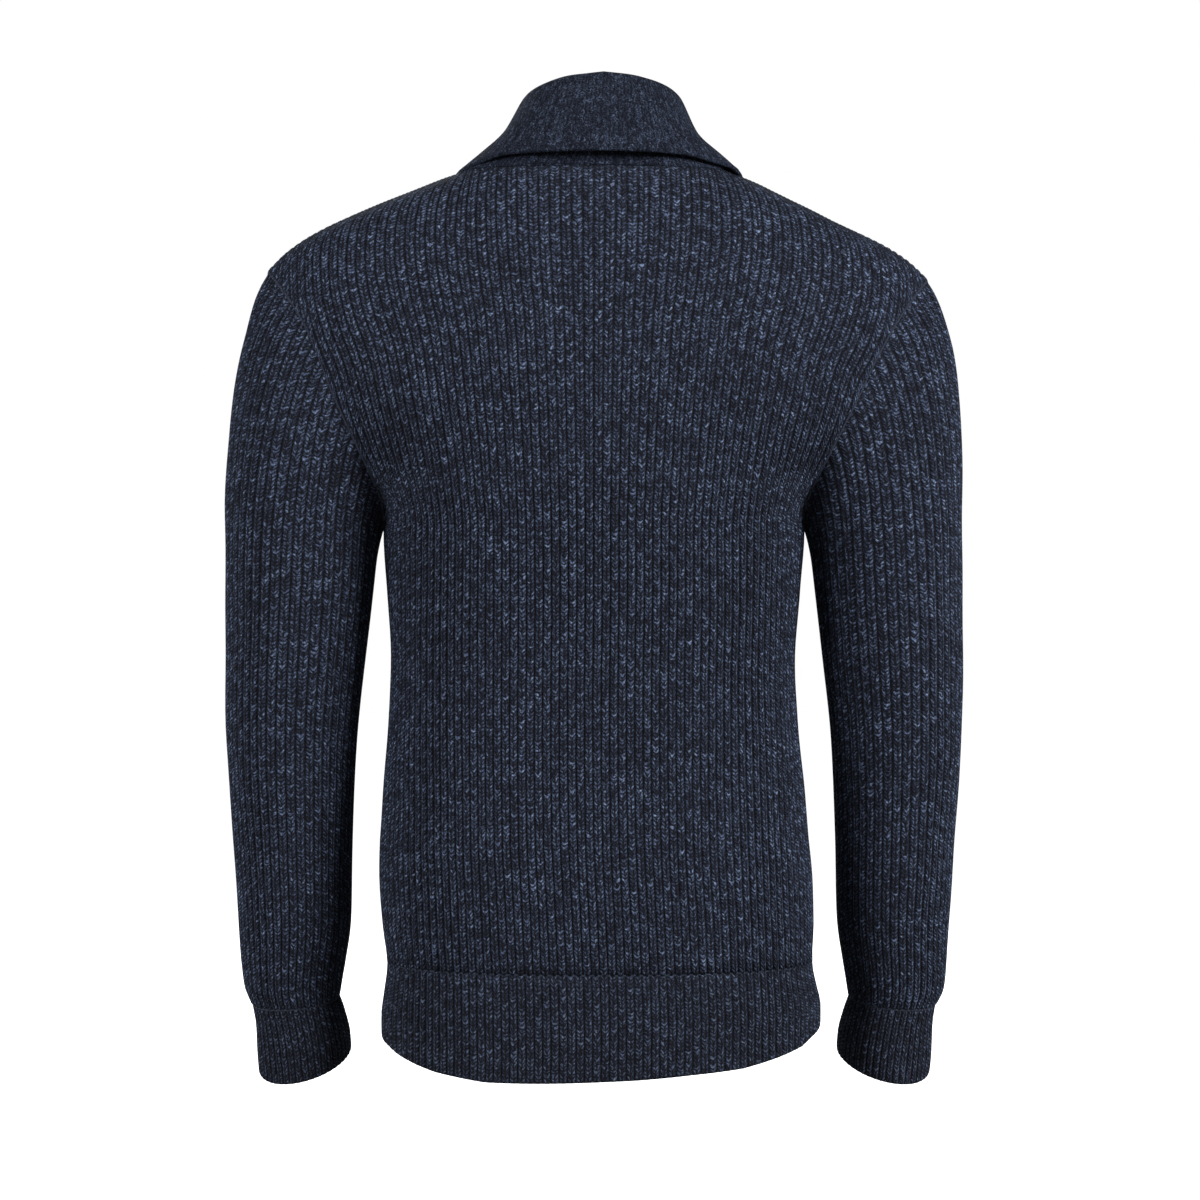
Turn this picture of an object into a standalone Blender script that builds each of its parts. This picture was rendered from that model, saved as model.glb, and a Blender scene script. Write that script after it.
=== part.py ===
# Shawl collar cardigan, in ribbed wool, standing hollow as if it were worn.
# Lengths are written in millimetres and turned into metres as each mesh is made.
# +Z is up, the front faces -Y, +X is the wearer's left, and the origin lies between the two
# high shoulder points, where the shoulders carry the garment.
import math

import bmesh
import bpy
import numpy as np
from mathutils import Matrix, Vector

metresPerMillimetre = 0.001

# The cloth
wallInside = 2.6        # from the middle of the ribs' height to the plain inside
ribHeight = 0.7         # crest above, and valley below, the middle of the ribs' height
seamGap = 0.32          # between two pieces at a seam
seamUndercut = 0.15     # how much the walls lean apart inside the shoulder seams
seamLean = 0.05         # how much the walls at the armhole lean down towards the body
backRibs = 68
frontRibs = 31
sleeveRibs = 44
columnsPerInside = 4    # outer columns that one inner column stands for
spreadColumns = 9.0     # how many columns beside the side seam spread apart there
cuffRibShare = 0.8      # the cuffs' ribs are finer than the body's

# The body
hemTop = -602.0
hemSide = -666.0        # lower edge at the side seams
hemDroop = 13.0         # further down at the centre back and centre front
armpit = -286.0
shoulderBlade = -200.0  # above this height the back and chest curve in towards the shoulders
shoulderRound = 2.2     # superellipse power of that curve
seamTuck = 2.0          # the shoulder seam lies this much below the ridge, on the back
bodyRowHeights = (hemTop, -500.0, -380.0)
hemParts = (1.0, 0.0)

# The front edge, the bands and the buttons
bandHalf = 18.0         # half the width of a button band
bandLap = 4.0           # the outer band is sewn this far over the left front
breakPoint = -235.0     # where the lapels part
neckHalf = 100.0        # half the width of the neck at the shoulder seams
cornerReach = 1.0       # how far inside the neck's corner the shoulder seam's slant begins
seamReach = 3.0         # how far past the neck's corner the collar reads the back's edge
breakGap = 8.0          # the least height of the lapel's first row above the break
bandWall = 3.2
bandLift = 1.3          # the outer band's inside, above the middle of the ribs' height
underBandLift = 0.6     # the under band's outside, above the same
buttonRadius = 10.0
buttonThick = 3.6
buttonTaper = 0.8       # the button's face is this much smaller in radius than its back
buttonRim = 2.2
buttonDish = 0.9        # how deep the button's middle lies below its rim
buttonSides = 16
bandColumns = 5
buttonHeights = (-262.0, -348.0, -434.0, -520.0, -606.0)

# The collar
collarWall = 3.4
rollRadius = 3.6        # of the fold along the roll line, at the middle of the wall
neckParts = (0.0, 0.22, 0.44, 0.64, 0.82, 0.93, 1.0)
cornerLean = 1.5        # how much the stand leans in where it passes the shoulder seam
collarSlope = 0.09      # the collar leans to the wearer's right by this much of its height

# Each cross-section of the body below the armholes.
bodyColumns = ("height", "halfWidth", "backDepth", "frontDepth", "squareness")
bodySections = [
    (-690.0, 166.0, 104.0, 112.0, 2.35),
    (-648.0, 166.0, 104.0, 112.0, 2.35),
    (-625.0, 163.5, 103.5, 111.5, 2.35),
    (-602.0, 161.0, 102.5, 111.0, 2.35),
    (-575.0, 163.2, 103.5, 112.0, 2.35),
    (-541.0, 163.8, 104.0, 112.0, 2.35),
    (-480.0, 159.8, 101.5, 110.0, 2.35),
    (-420.0, 155.0, 99.0, 109.5, 2.35),
    (-374.0, 152.8, 98.5, 110.5, 2.35),
    (-328.0, 156.0, 101.5, 113.5, 2.3),
    (-286.0, 159.0, 106.5, 117.0, 2.25),
    (-240.0, 159.0, 110.0, 120.0, 2.15),
    (-200.0, 159.0, 111.0, 120.0, 2.1),
    (60.0, 159.0, 111.0, 120.0, 2.1),
]

# The shoulders, from the centre out: the ridge (inside the neck it only guides the cloth's
# curve) and the upper edge of the back, along the neck seam.
shoulderColumns = ("across", "ridge", "neckSeam")
shoulderSections = [
    (0.0, 40.0, -6.0),
    (50.0, 27.0, -5.6),
    (80.0, 10.0, -5.0),
    (92.0, 2.5, -4.6),
    (100.0, -3.0, -4.6),
    (117.0, -9.5, -4.6),
    (136.0, -17.0, -4.6),
    (155.0, -24.5, -4.6),
    (186.0, -38.5, -4.6),
    (217.0, -54.0, -4.6),
    (235.0, -66.0, -4.6),
    (250.0, -80.0, -4.6),
]

# The armhole seam of the left sleeve, from the armpit up to the shoulder.
armholeBack = [
    # across, depth, height
    (159.0, 0.0, -286.0),
    (158.5, 15.0, -273.0),
    (160.0, 30.0, -257.0),
    (166.0, 45.0, -237.0),
    (175.5, 56.5, -214.0),
    (186.0, 62.0, -192.0),
    (196.0, 62.0, -171.0),
    (206.5, 57.0, -147.0),
    (219.5, 46.5, -122.0),
    (235.0, 30.5, -99.0),
    (249.0, 12.0, -82.0),
]
armholeFront = [
    # across, depth, height
    (159.0, 0.0, -286.0),
    (158.0, -16.0, -273.0),
    (158.0, -33.0, -257.0),
    (161.5, -49.0, -237.0),
    (169.5, -61.5, -214.0),
    (179.5, -68.0, -192.0),
    (189.5, -67.5, -171.0),
    (201.5, -60.5, -147.0),
    (216.5, -46.0, -121.0),
    (234.5, -24.5, -97.0),
    (249.5, 0.0, -80.0),
]
# Columns of the sleeve between one row of the body's panels and the next, up the armhole.
backSteps = (6, 6, 6, 6, 6, 5, 5, 4)
frontSteps = (6, 6, 6, 6, 5, 5, 4, 4)
ridgeSteps = 2          # from the ridge back to the shoulder seam
# How far the ribs spread apart beside the side seam, where the outer ones lean in towards the
# armhole seam.
spreadSections = [
    # height, spread
    (-700.0, 0.0),
    (-480.0, 0.0),
    (-400.0, 0.25),
    (-340.0, 0.65),
    (-286.0, 1.0),
    (-250.0, 0.45),
    (-200.0, 0.0),
    (60.0, 0.0),
]

# Each ring of the left sleeve, from its outer side to its inner side.
sleeveColumns = ("outerAcross", "outerHeight", "innerAcross", "innerHeight", "forward", "halfDepth")
sleeveRings = [
    (249.5, -81.0, 159.0, -286.0, -2.0, 67.0),
    (261.0, -104.0, 160.8, -288.0, -2.0, 66.0),
    (271.0, -145.0, 162.6, -293.0, -2.0, 65.0),
    (277.0, -200.0, 165.4, -304.0, -3.0, 64.0),
    (280.0, -265.0, 168.8, -326.0, -4.0, 63.0),
    (280.3, -340.0, 174.8, -372.0, -6.0, 60.0),
    (279.0, -420.0, 181.2, -432.0, -9.0, 55.0),
    (274.5, -510.0, 185.0, -510.0, -15.0, 49.5),
    (269.0, -575.0, 185.6, -572.0, -20.0, 46.0),
    (267.0, -612.0, 186.4, -607.0, -23.0, 43.5),
    (261.5, -633.0, 189.5, -629.0, -24.5, 40.0),
]
sleeveRows = (0.0, 1.0, 2.2, 3.6, 5.4, 7.5, 9.0, 10.0)
cuffRows = (0.0, 3.0)
loopFade = 3.0          # rings over which the armhole's own outline turns into plain ovals
cuffRings = [
    (258.5, -633.4, 190.0, -629.4, -24.5, 38.0),
    (255.6, -652.0, 187.4, -645.0, -25.5, 37.5),
    (254.2, -670.0, 185.6, -658.0, -26.5, 37.5),
    (251.0, -688.0, 184.6, -669.0, -27.5, 37.0),
]

# The collar's sections round the back of the neck, from the centre to the shoulder seam: the
# stand's middle, the roll, the fall's middle and the fall's lower edge. "along" is the part of
# the way from the centre back to the shoulder seam.
collarColumns = ("along", "standX", "standY", "standZ", "rollX", "rollY", "rollZ",
                 "fallX", "fallY", "fallZ", "edgeX", "edgeY", "edgeZ")
collarBack = [
    (0.00, 0.0, 68.0, 28.0, 0.0, 53.0, 60.5, 0.0, 74.5, 35.0, 0.0, 84.5, 3.5),
    (0.30, 25.0, 63.0, 27.5, 21.0, 49.5, 60.0, 30.0, 69.0, 34.5, 36.0, 79.0, 3.5),
    (0.62, 52.0, 45.0, 25.5, 38.5, 37.0, 57.5, 55.0, 50.0, 33.0, 72.0, 61.0, 3.0),
    (0.85, 68.5, 24.5, 20.5, 48.0, 18.5, 54.0, 70.0, 28.0, 30.0, 98.0, 38.0, -2.5),
    (1.00, 72.0, 6.0, 15.0, 51.0, 1.0, 50.0, 75.5, 8.0, 26.0, 113.0, 16.0, -5.6),
]
# The lapels, by the height of the neck edge below them: how far from the centre the roll, the
# lapel's edge and the neck edge lie, and how far the roll is lifted by the neck.
lapelColumns = ("height", "roll", "edge", "neckEdge", "lift")
lapelSections = [
    (-250.0, 6.6, 21.0, 18.3, 0.0),
    (-235.0, 6.8, 23.0, 18.6, 0.0),
    (-215.0, 9.5, 40.0, 23.0, 0.0),
    (-190.0, 14.5, 62.0, 31.5, 0.0),
    (-150.0, 23.5, 86.0, 47.0, 0.0),
    (-110.0, 32.0, 102.0, 62.5, 1.0),
    (-70.0, 41.0, 112.0, 78.0, 4.0),
    (-35.0, 47.5, 117.0, 90.5, 11.0),
    (0.0, 51.0, 119.0, 100.0, 22.0),
]
lapelStandLift = 0.4    # the stand's middle, above its place flat in the wall
lapelRollLift = 2.9
lapelFallLift = 6.2
lapelFallPart = 0.42    # how far the fall's middle lies on the way from the roll to its edge
lapelEdgeLift = 3.5
lapelStandShare = 0.35  # the part of the neck's lift that the stand's middle takes
lapelFallShare = 0.15   # and the part that the fall's middle takes
lapelTop = 0.9995       # the part of the front's rise where the last lapel section lies
normalStep = 0.0004     # the steps that a normal on the chest is read from, in the rise
normalReach = 0.5       # and across

clothColours = {
    "body": (0.0225, 0.0265, 0.0410),
    "rib": (0.0175, 0.0205, 0.0320),
    "collar": (0.0250, 0.0300, 0.0460),
    "button": (0.0120, 0.0110, 0.0115),
}


def column(table, names, name):
    return np.array([row[names.index(name)] for row in table])


def readSmooth(knots, values, at):
    # A curve through the table's values that never swings past them.
    knots = np.asarray(knots, dtype=float)
    values = np.asarray(values, dtype=float)
    at = np.asarray(at, dtype=float)
    steps = np.diff(knots)
    rises = np.diff(values) / steps
    slopes = np.empty(len(knots))
    slopes[0] = rises[0]
    slopes[-1] = rises[-1]
    before = rises[:-1]
    after = rises[1:]
    steady = before * after > 0
    safeSum = np.where(steady, before + after, 1.0)
    slopes[1:-1] = np.where(steady, 2 * before * after / safeSum, 0.0)
    place = np.clip(np.searchsorted(knots, at) - 1, 0, len(steps) - 1)
    part = np.clip((at - knots[place]) / steps[place], 0.0, 1.0)
    width = steps[place]
    start = (1 + 2 * part) * (1 - part) ** 2 * values[place]
    end = part ** 2 * (3 - 2 * part) * values[place + 1]
    lead = part * (1 - part) ** 2 * width * slopes[place]
    tail = part ** 2 * (part - 1) * width * slopes[place + 1]
    return start + end + lead + tail


def readTable(table, names, key, name, at):
    return readSmooth(column(table, names, key), column(table, names, name), at)


def unit(vectors):
    lengths = np.linalg.norm(vectors, axis=-1, keepdims=True)
    return vectors / np.maximum(lengths, 1e-9)


def arcLengths(points):
    steps = np.linalg.norm(np.diff(points, axis=0), axis=1)
    return np.concatenate([[0.0], np.cumsum(steps)])


def alongLine(points, lengths):
    # The places on a line of points at the given distances from its start.
    arcs = arcLengths(points)
    return np.stack([np.interp(lengths, arcs, points[:, axis]) for axis in range(3)], axis=1)


def splineThrough(points, pieces):
    # A smooth curve through every point, with the given number of pieces between two points.
    points = np.asarray(points, dtype=float)
    first = 2 * points[0] - points[1]
    last = 2 * points[-1] - points[-2]
    padded = np.vstack([first, points, last])
    parts = np.linspace(0, 1, pieces, endpoint=False)[:, None]
    curve = []
    for place in range(1, len(padded) - 2):
        before, start, end, after = padded[place - 1:place + 3]
        curve.append(0.5 * (2 * start + (end - before) * parts
                            + (2 * before - 5 * start + 4 * end - after) * parts ** 2
                            + (3 * start - before - 3 * end + after) * parts ** 3))
    return np.vstack(curve + [padded[-2][None, :]])


def armholeCurve(side):
    # The armhole seam of one side of the body, from the armpit to the top.
    rows = armholeBack if side > 0 else armholeFront
    points = splineThrough(rows, 24)
    points[:, 2] = np.maximum.accumulate(points[:, 2])
    return points


armholeCurves = {1: armholeCurve(1), -1: armholeCurve(-1)}


def armholeAt(side, rise):
    # Where the armhole seam lies at a given part of its rise, from 0 at the armpit to 1.
    curve = armholeCurves[side]
    heights = (curve[:, 2] - curve[0, 2]) / (curve[-1, 2] - curve[0, 2])
    heights = heights + np.linspace(0, 1e-9, len(heights))
    return [np.interp(rise, heights, curve[:, axis]) for axis in range(3)]


def upperEdge(side, across):
    # The upper edge of a panel: the neck and shoulder seam of the back, the ridge of the front.
    ridge = readTable(shoulderSections, shoulderColumns, "across", "ridge", across)
    if side < 0:
        return ridge
    neck = readTable(shoulderSections, shoulderColumns, "across", "neckSeam", across)
    return np.minimum(neck, ridge - seamTuck)


def shoulderCurve(across, height):
    # How much of its full depth the cloth keeps at a place above the shoulder blades.
    ridge = readTable(shoulderSections, shoulderColumns, "across", "ridge", across)
    part = np.clip((height - shoulderBlade) / (ridge - shoulderBlade), 0.0, 1.0)
    return (1 - part ** shoulderRound) ** (1 / shoulderRound)


def upperPoints(side, rise, across):
    # Places on the back (side 1) or the chest (side -1) above the armpits, a row at one rise.
    edgeX, edgeY, edgeZ = armholeAt(side, rise)
    share = np.abs(across) / edgeX
    topX = share * armholeCurves[side][-1, 0]
    height = armpit + rise * (upperEdge(side, topX) - armpit)
    depthName = "backDepth" if side > 0 else "frontDepth"
    depth = readTable(bodySections, bodyColumns, "height", depthName, height)
    edgeDepth = readTable(bodySections, bodyColumns, "height", depthName, edgeZ)
    power = readTable(bodySections, bodyColumns, "height", "squareness", edgeZ)
    edgeCap = shoulderCurve(armholeCurves[side][-1, 0], edgeZ)
    ratio = np.clip(abs(edgeY) / np.maximum(edgeDepth * edgeCap, 1e-6), 0.0, 1.0)
    reach = (1 - ratio ** power) ** (1 / power)
    bow = np.maximum(1 - (reach * share) ** power, 0.0) ** (1 / power)
    depths = side * depth * bow * shoulderCurve(topX, height)
    return np.stack([across, depths, height], axis=-1)


def ringPoints(side, height, across):
    # Places on the body's tube below the armpits.
    height = np.broadcast_to(np.asarray(height, dtype=float), np.shape(across))
    halfWidth = readTable(bodySections, bodyColumns, "height", "halfWidth", height)
    depthName = "backDepth" if side > 0 else "frontDepth"
    depth = readTable(bodySections, bodyColumns, "height", depthName, height)
    power = readTable(bodySections, bodyColumns, "height", "squareness", height)
    share = np.clip(np.abs(across) / halfWidth, 0.0, 1.0)
    depths = side * depth * np.maximum(1 - share ** power, 0.0) ** (1 / power)
    return np.stack([across, depths, height], axis=-1)


def acrossSteps(inner, outer, count=241):
    # Places across a row, close together near the outer end, where the cloth turns away.
    angles = np.linspace(0, math.pi / 2, count)
    return inner + (outer - inner) * np.sin(angles)


def tubeRow(side, height, inner):
    # The left half of a row below the armpits, from its inner end to the side seam.
    halfWidth = float(readTable(bodySections, bodyColumns, "height", "halfWidth", height))
    return ringPoints(side, height, acrossSteps(inner, halfWidth))


def upperRow(side, rise, inner):
    # The left half of a row above the armpits, from its inner end to the armhole seam.
    edge = armholeAt(side, rise)
    row = upperPoints(side, rise, acrossSteps(inner, float(edge[0])))
    row[-1] = edge
    return row


def evenPlaces(row, startGap, endGap, columnCount):
    # Places for the ribs along a row, held back from the seams at its ends. They are even, but
    # for the spread beside the side seam.
    spread = float(readSmooth(*np.array(spreadSections).T, row[-1, 2]))
    fromSeam = (columnCount - 1.5 - np.arange(columnCount - 1)) / spreadColumns
    widths = 1 + spread * np.exp(-fromSeam ** 2)
    shares = np.concatenate([[0.0], np.cumsum(widths)]) / np.sum(widths)
    length = arcLengths(row)[-1]
    return alongLine(row, startGap + shares * (length - startGap - endGap))


def rowRises(side, steps):
    # The rise of each row's end, so that the sleeve's columns stay even along the armhole.
    curve = armholeCurves[side]
    arcs = arcLengths(curve)
    ends = alongLine(curve, arcs[-1] * np.cumsum(steps) / sum(steps))
    rises = (ends[:, 2] - curve[0, 2]) / (curve[-1, 2] - curve[0, 2])
    rises[-1] = 1.0
    return [0.0] + list(rises)


def neckEdgeAt(rise):
    # How far from the centre the front's inner edge lies at a given rise.
    inner = bandHalf + seamGap
    for _ in range(8):
        height = upperPoints(-1, rise, np.array([inner]))[0, 2]
        edge = readTable(lapelSections, lapelColumns, "height", "neckEdge", height)
        inner = max(bandHalf + seamGap, float(edge))
    return inner


def chestPoint(across, height):
    # The place on the chest at a given height and distance from the centre.
    rise = (height - armpit) / -armpit
    for _ in range(8):
        now = upperPoints(-1, rise, np.array([across]))[0]
        rise = float(np.clip(rise * (height - armpit) / max(now[2] - armpit, 1e-3), 0.001, 1.0))
    return upperPoints(-1, rise, np.array([across]))[0]


def frontPoint(across, height):
    if height <= armpit:
        return ringPoints(-1, height, np.array([across]))[0]
    return chestPoint(across, height)


def gridNormals(grid, closed=False):
    # Unit normals of a grid of points [row, column], from its neighbours on both sides.
    if closed:
        acrossStep = np.roll(grid, -1, axis=1) - np.roll(grid, 1, axis=1)
    else:
        acrossStep = np.gradient(grid, axis=1)
    upStep = np.gradient(grid, axis=0)
    return unit(np.cross(acrossStep, upStep))


def wallMesh(name, slot, grid, lifts, normals=None, closed=False, inside=wallInside,
             insideStep=columnsPerInside):
    # A wall whose outside carries the given lifts and whose inside is plain, from a grid of
    # places [row, column] that runs from left to right as seen from outside, and upwards.
    rowCount, columnCount = grid.shape[:2]
    if normals is None:
        normals = gridNormals(grid, closed)
    outer = grid + normals * np.broadcast_to(lifts, grid.shape[:2])[:, :, None]
    spans = columnCount if closed else columnCount - 1
    insideColumns = list(range(0, spans, insideStep))
    if not closed:
        if spans - insideColumns[-1] < insideStep / 2 and len(insideColumns) > 1:
            insideColumns.pop()
        insideColumns.append(columnCount - 1)
    inner = (grid - normals * inside)[:, insideColumns]
    insideCount = len(insideColumns)
    insideSpans = insideCount if closed else insideCount - 1
    bm = bmesh.new()
    outerVerts = [[bm.verts.new(point * metresPerMillimetre) for point in row] for row in outer]
    innerVerts = [[bm.verts.new(point * metresPerMillimetre) for point in row] for row in inner]
    for row in range(rowCount - 1):
        for here in range(spans):
            after = (here + 1) % columnCount
            bm.faces.new((outerVerts[row][here], outerVerts[row][after],
                          outerVerts[row + 1][after], outerVerts[row + 1][here]))
        for here in range(insideSpans):
            after = (here + 1) % insideCount
            bm.faces.new((innerVerts[row][after], innerVerts[row][here],
                          innerVerts[row + 1][here], innerVerts[row + 1][after]))
        if not closed:
            bm.faces.new((outerVerts[row][0], outerVerts[row + 1][0],
                          innerVerts[row + 1][0], innerVerts[row][0]))
            bm.faces.new((outerVerts[row + 1][-1], outerVerts[row][-1],
                          innerVerts[row][-1], innerVerts[row + 1][-1]))
    for row in (0, rowCount - 1):
        for here in range(insideSpans):
            after = (here + 1) % insideCount
            start = insideColumns[here]
            end = insideColumns[after] if after > here else columnCount
            middle = (start + end) // 2
            rim = []
            for step in range(start, end):
                corner = innerVerts[row][here] if step < middle else innerVerts[row][after]
                rim.append((outerVerts[row][step], corner,
                            outerVerts[row][(step + 1) % columnCount]))
            rim.append((outerVerts[row][middle % columnCount], innerVerts[row][here],
                        innerVerts[row][after]))
            for corners in rim:
                bm.faces.new(corners if row == 0 else corners[::-1])
    bmesh.ops.triangulate(bm, faces=bm.faces[:])
    return addObject(name, slot, bm)


def addObject(name, slot, bm):
    bmesh.ops.recalc_face_normals(bm, faces=bm.faces[:])
    if bm.calc_volume(signed=True) < 0:
        bmesh.ops.reverse_faces(bm, faces=bm.faces[:])
    mesh = bpy.data.meshes.new(name)
    bm.to_mesh(mesh)
    bm.free()
    mesh.materials.append(materials[slot])
    thing = bpy.data.objects.new(name, mesh)
    bpy.context.scene.collection.objects.link(thing)
    return thing


def mirrored(grid):
    # The other side's grid, again from left to right as seen from outside.
    return (grid * np.array([-1.0, 1.0, 1.0]))[:, ::-1]


def ribLifts(columnCount, closed=False):
    # Every second column is a crest. At an open end the lift is nil.
    lifts = np.where(np.arange(columnCount) % 2 == 1, ribHeight, -ribHeight)
    if not closed:
        lifts[[0, -1]] = 0.0
    return lifts


def panelGrid(side, columnCount, steps):
    # The left half of the back, or the left front, from its inner end to the side.
    inner = 0.0 if side > 0 else bandHalf + seamGap
    rows = []
    for height in bodyRowHeights:
        held = height + (seamGap if height == hemTop else 0.0)
        rows.append(evenPlaces(tubeRow(side, held, inner), 0.0, seamGap / 2, columnCount))
    for rise in rowRises(side, steps):
        start = 0.0 if side > 0 else neckEdgeAt(rise)
        rows.append(evenPlaces(upperRow(side, rise, start), 0.0, seamGap / 2, columnCount))
    if side < 0:
        ridge = rows[-1]
        seam = upperRow(1, 1.0, neckHalf)
        behind = evenPlaces(seam, 0.0, seamGap / 2, columnCount)
        rows.append(behind + unit(ridge - behind) * seamGap)
    return np.array(rows)


def hemGrid(side, columnCount):
    # The hem rib under a panel, whose lower edge droops towards the centre.
    inner = 0.0 if side > 0 else bandHalf + seamGap
    rows = []
    for part in hemParts:
        level = hemTop + part * (hemSide - hemTop)
        row = evenPlaces(tubeRow(side, level, inner), 0.0, seamGap / 2, columnCount)
        turned = np.abs(row[:, 1]) / np.abs(row[:, 1]).max()
        heights = level - part * hemDroop * turned ** 1.5
        share = row[:, 0] / readTable(bodySections, bodyColumns, "height", "halfWidth", level)
        widths = readTable(bodySections, bodyColumns, "height", "halfWidth", heights)
        rows.append(ringPoints(side, heights, share * widths))
    return np.array(rows)


def wholeBack(half):
    # Both halves of the back, from the wearer's left to the right.
    return np.concatenate([half[:, ::-1], mirrored(half)[:, ::-1][:, 1:]], axis=1)


def ovalRing(ring, columnCount):
    # Even places round one oval of a sleeve, from its inner side forward and round.
    outerX, outerZ, innerX, innerZ, forward, halfDepth = ring
    angles = np.linspace(0, 2 * math.pi, 721)
    centre = np.array([(outerX + innerX) / 2, forward, (outerZ + innerZ) / 2])
    reach = np.array([(innerX - outerX) / 2, 0.0, (innerZ - outerZ) / 2])
    points = (centre + np.cos(angles)[:, None] * reach
              - np.sin(angles)[:, None] * np.array([0.0, halfDepth, 0.0]))
    length = arcLengths(points)[-1]
    return alongLine(points, np.arange(columnCount) * length / columnCount)


def readRing(table, place):
    knots = np.arange(len(table))
    return [float(readSmooth(knots, [row[name] for row in table], place))
            for name in range(len(sleeveColumns))]


def armholeLoop():
    # The armhole seam as the sleeve meets it: up the front, over the shoulder, down the back,
    # on the straight lines between the ends of the panels' rows.
    frontEnds = [armholeAt(-1, rise) for rise in rowRises(-1, frontSteps)]
    backEnds = [armholeAt(1, rise) for rise in rowRises(1, backSteps)]
    ends = np.array(frontEnds + backEnds[::-1])
    counts = list(frontSteps) + [ridgeSteps] + list(backSteps[::-1])
    points = []
    for place, count in enumerate(counts):
        for step in range(count):
            points.append(ends[place] + (ends[place + 1] - ends[place]) * step / count)
    return np.array(points)


def sleeveGrid(places):
    # The left sleeve, from its cuff end up to the armhole.
    columnCount = 2 * sleeveRibs
    loop = armholeLoop()
    residual = loop - ovalRing(sleeveRings[0], columnCount)
    rows = []
    for place in sorted(places, reverse=True):
        fade = max(0.0, 1 - place / loopFade)
        fade = fade * fade * (3 - 2 * fade)
        rows.append(ovalRing(readRing(sleeveRings, place), columnCount) + fade * residual)
    rows[-1] = rows[-1] + unit(rows[-2] - rows[-1]) * seamGap
    return np.array(rows)


def meetAtShoulder(back, backNormals, front, frontNormals):
    # Along the shoulder seam both walls end on nearly the same slant, so that neither runs
    # into the other where the cloth turns over the ridge.
    def across(target, source, normals):
        return np.stack([np.interp(target[:, 0], source[:, 0], normals[:, axis])
                         for axis in range(3)], axis=1)

    onFront = across(front[-1], back[-1], backNormals[-1])
    onBack = across(back[-1], front[-1], frontNormals[-1])
    backward = unit(back[-1] - across(back[-1], front[-2], front[-2]))
    beyond = back[-1, :, 0] > neckHalf - cornerReach
    frontNormals[-1] = unit(unit(frontNormals[-1] + onFront)
                            + seamUndercut * unit(front[-1] - front[-2]))
    backNormals[-1, beyond] = unit(unit(backNormals[-1] + onBack)
                                   - seamUndercut * backward)[beyond]


def meetAtSides(normals, rowCount):
    # At the side seam the wall ends straight across.
    normals[:rowCount, -1] = unit(normals[:rowCount, -1] * np.array([1.0, 0.0, 1.0]))


def meetAtArmhole(backNormals, frontNormals, sleeveNormals):
    # Round the armhole the sleeve's wall and the body's end on the same slant.
    tubeRows = len(bodyRowHeights)
    ends = list(frontNormals[tubeRows:, -1]) + list(backNormals[tubeRows + 1:, -1][::-1])
    ends.append(backNormals[tubeRows, -1])
    counts = list(frontSteps) + [ridgeSteps] + list(backSteps[::-1])
    shared = []
    corners = np.concatenate([[0], np.cumsum(counts)])
    for place, count in enumerate(counts):
        for step in range(count):
            bodySide = ends[place] + (ends[place + 1] - ends[place]) * step / count
            shared.append(unit(bodySide + sleeveNormals[-1, corners[place] + step]
                               + np.array([0.0, 0.0, -seamLean])))
    shared = np.array(shared)
    sleeveNormals[-1] = shared
    for row in range(len(frontSteps) + 2):
        frontNormals[tubeRows + row, -1] = shared[corners[row]]
    for row in range(len(backSteps) + 1):
        backNormals[tubeRows + row, -1] = shared[corners[-1 - row] % len(shared)]


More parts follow.
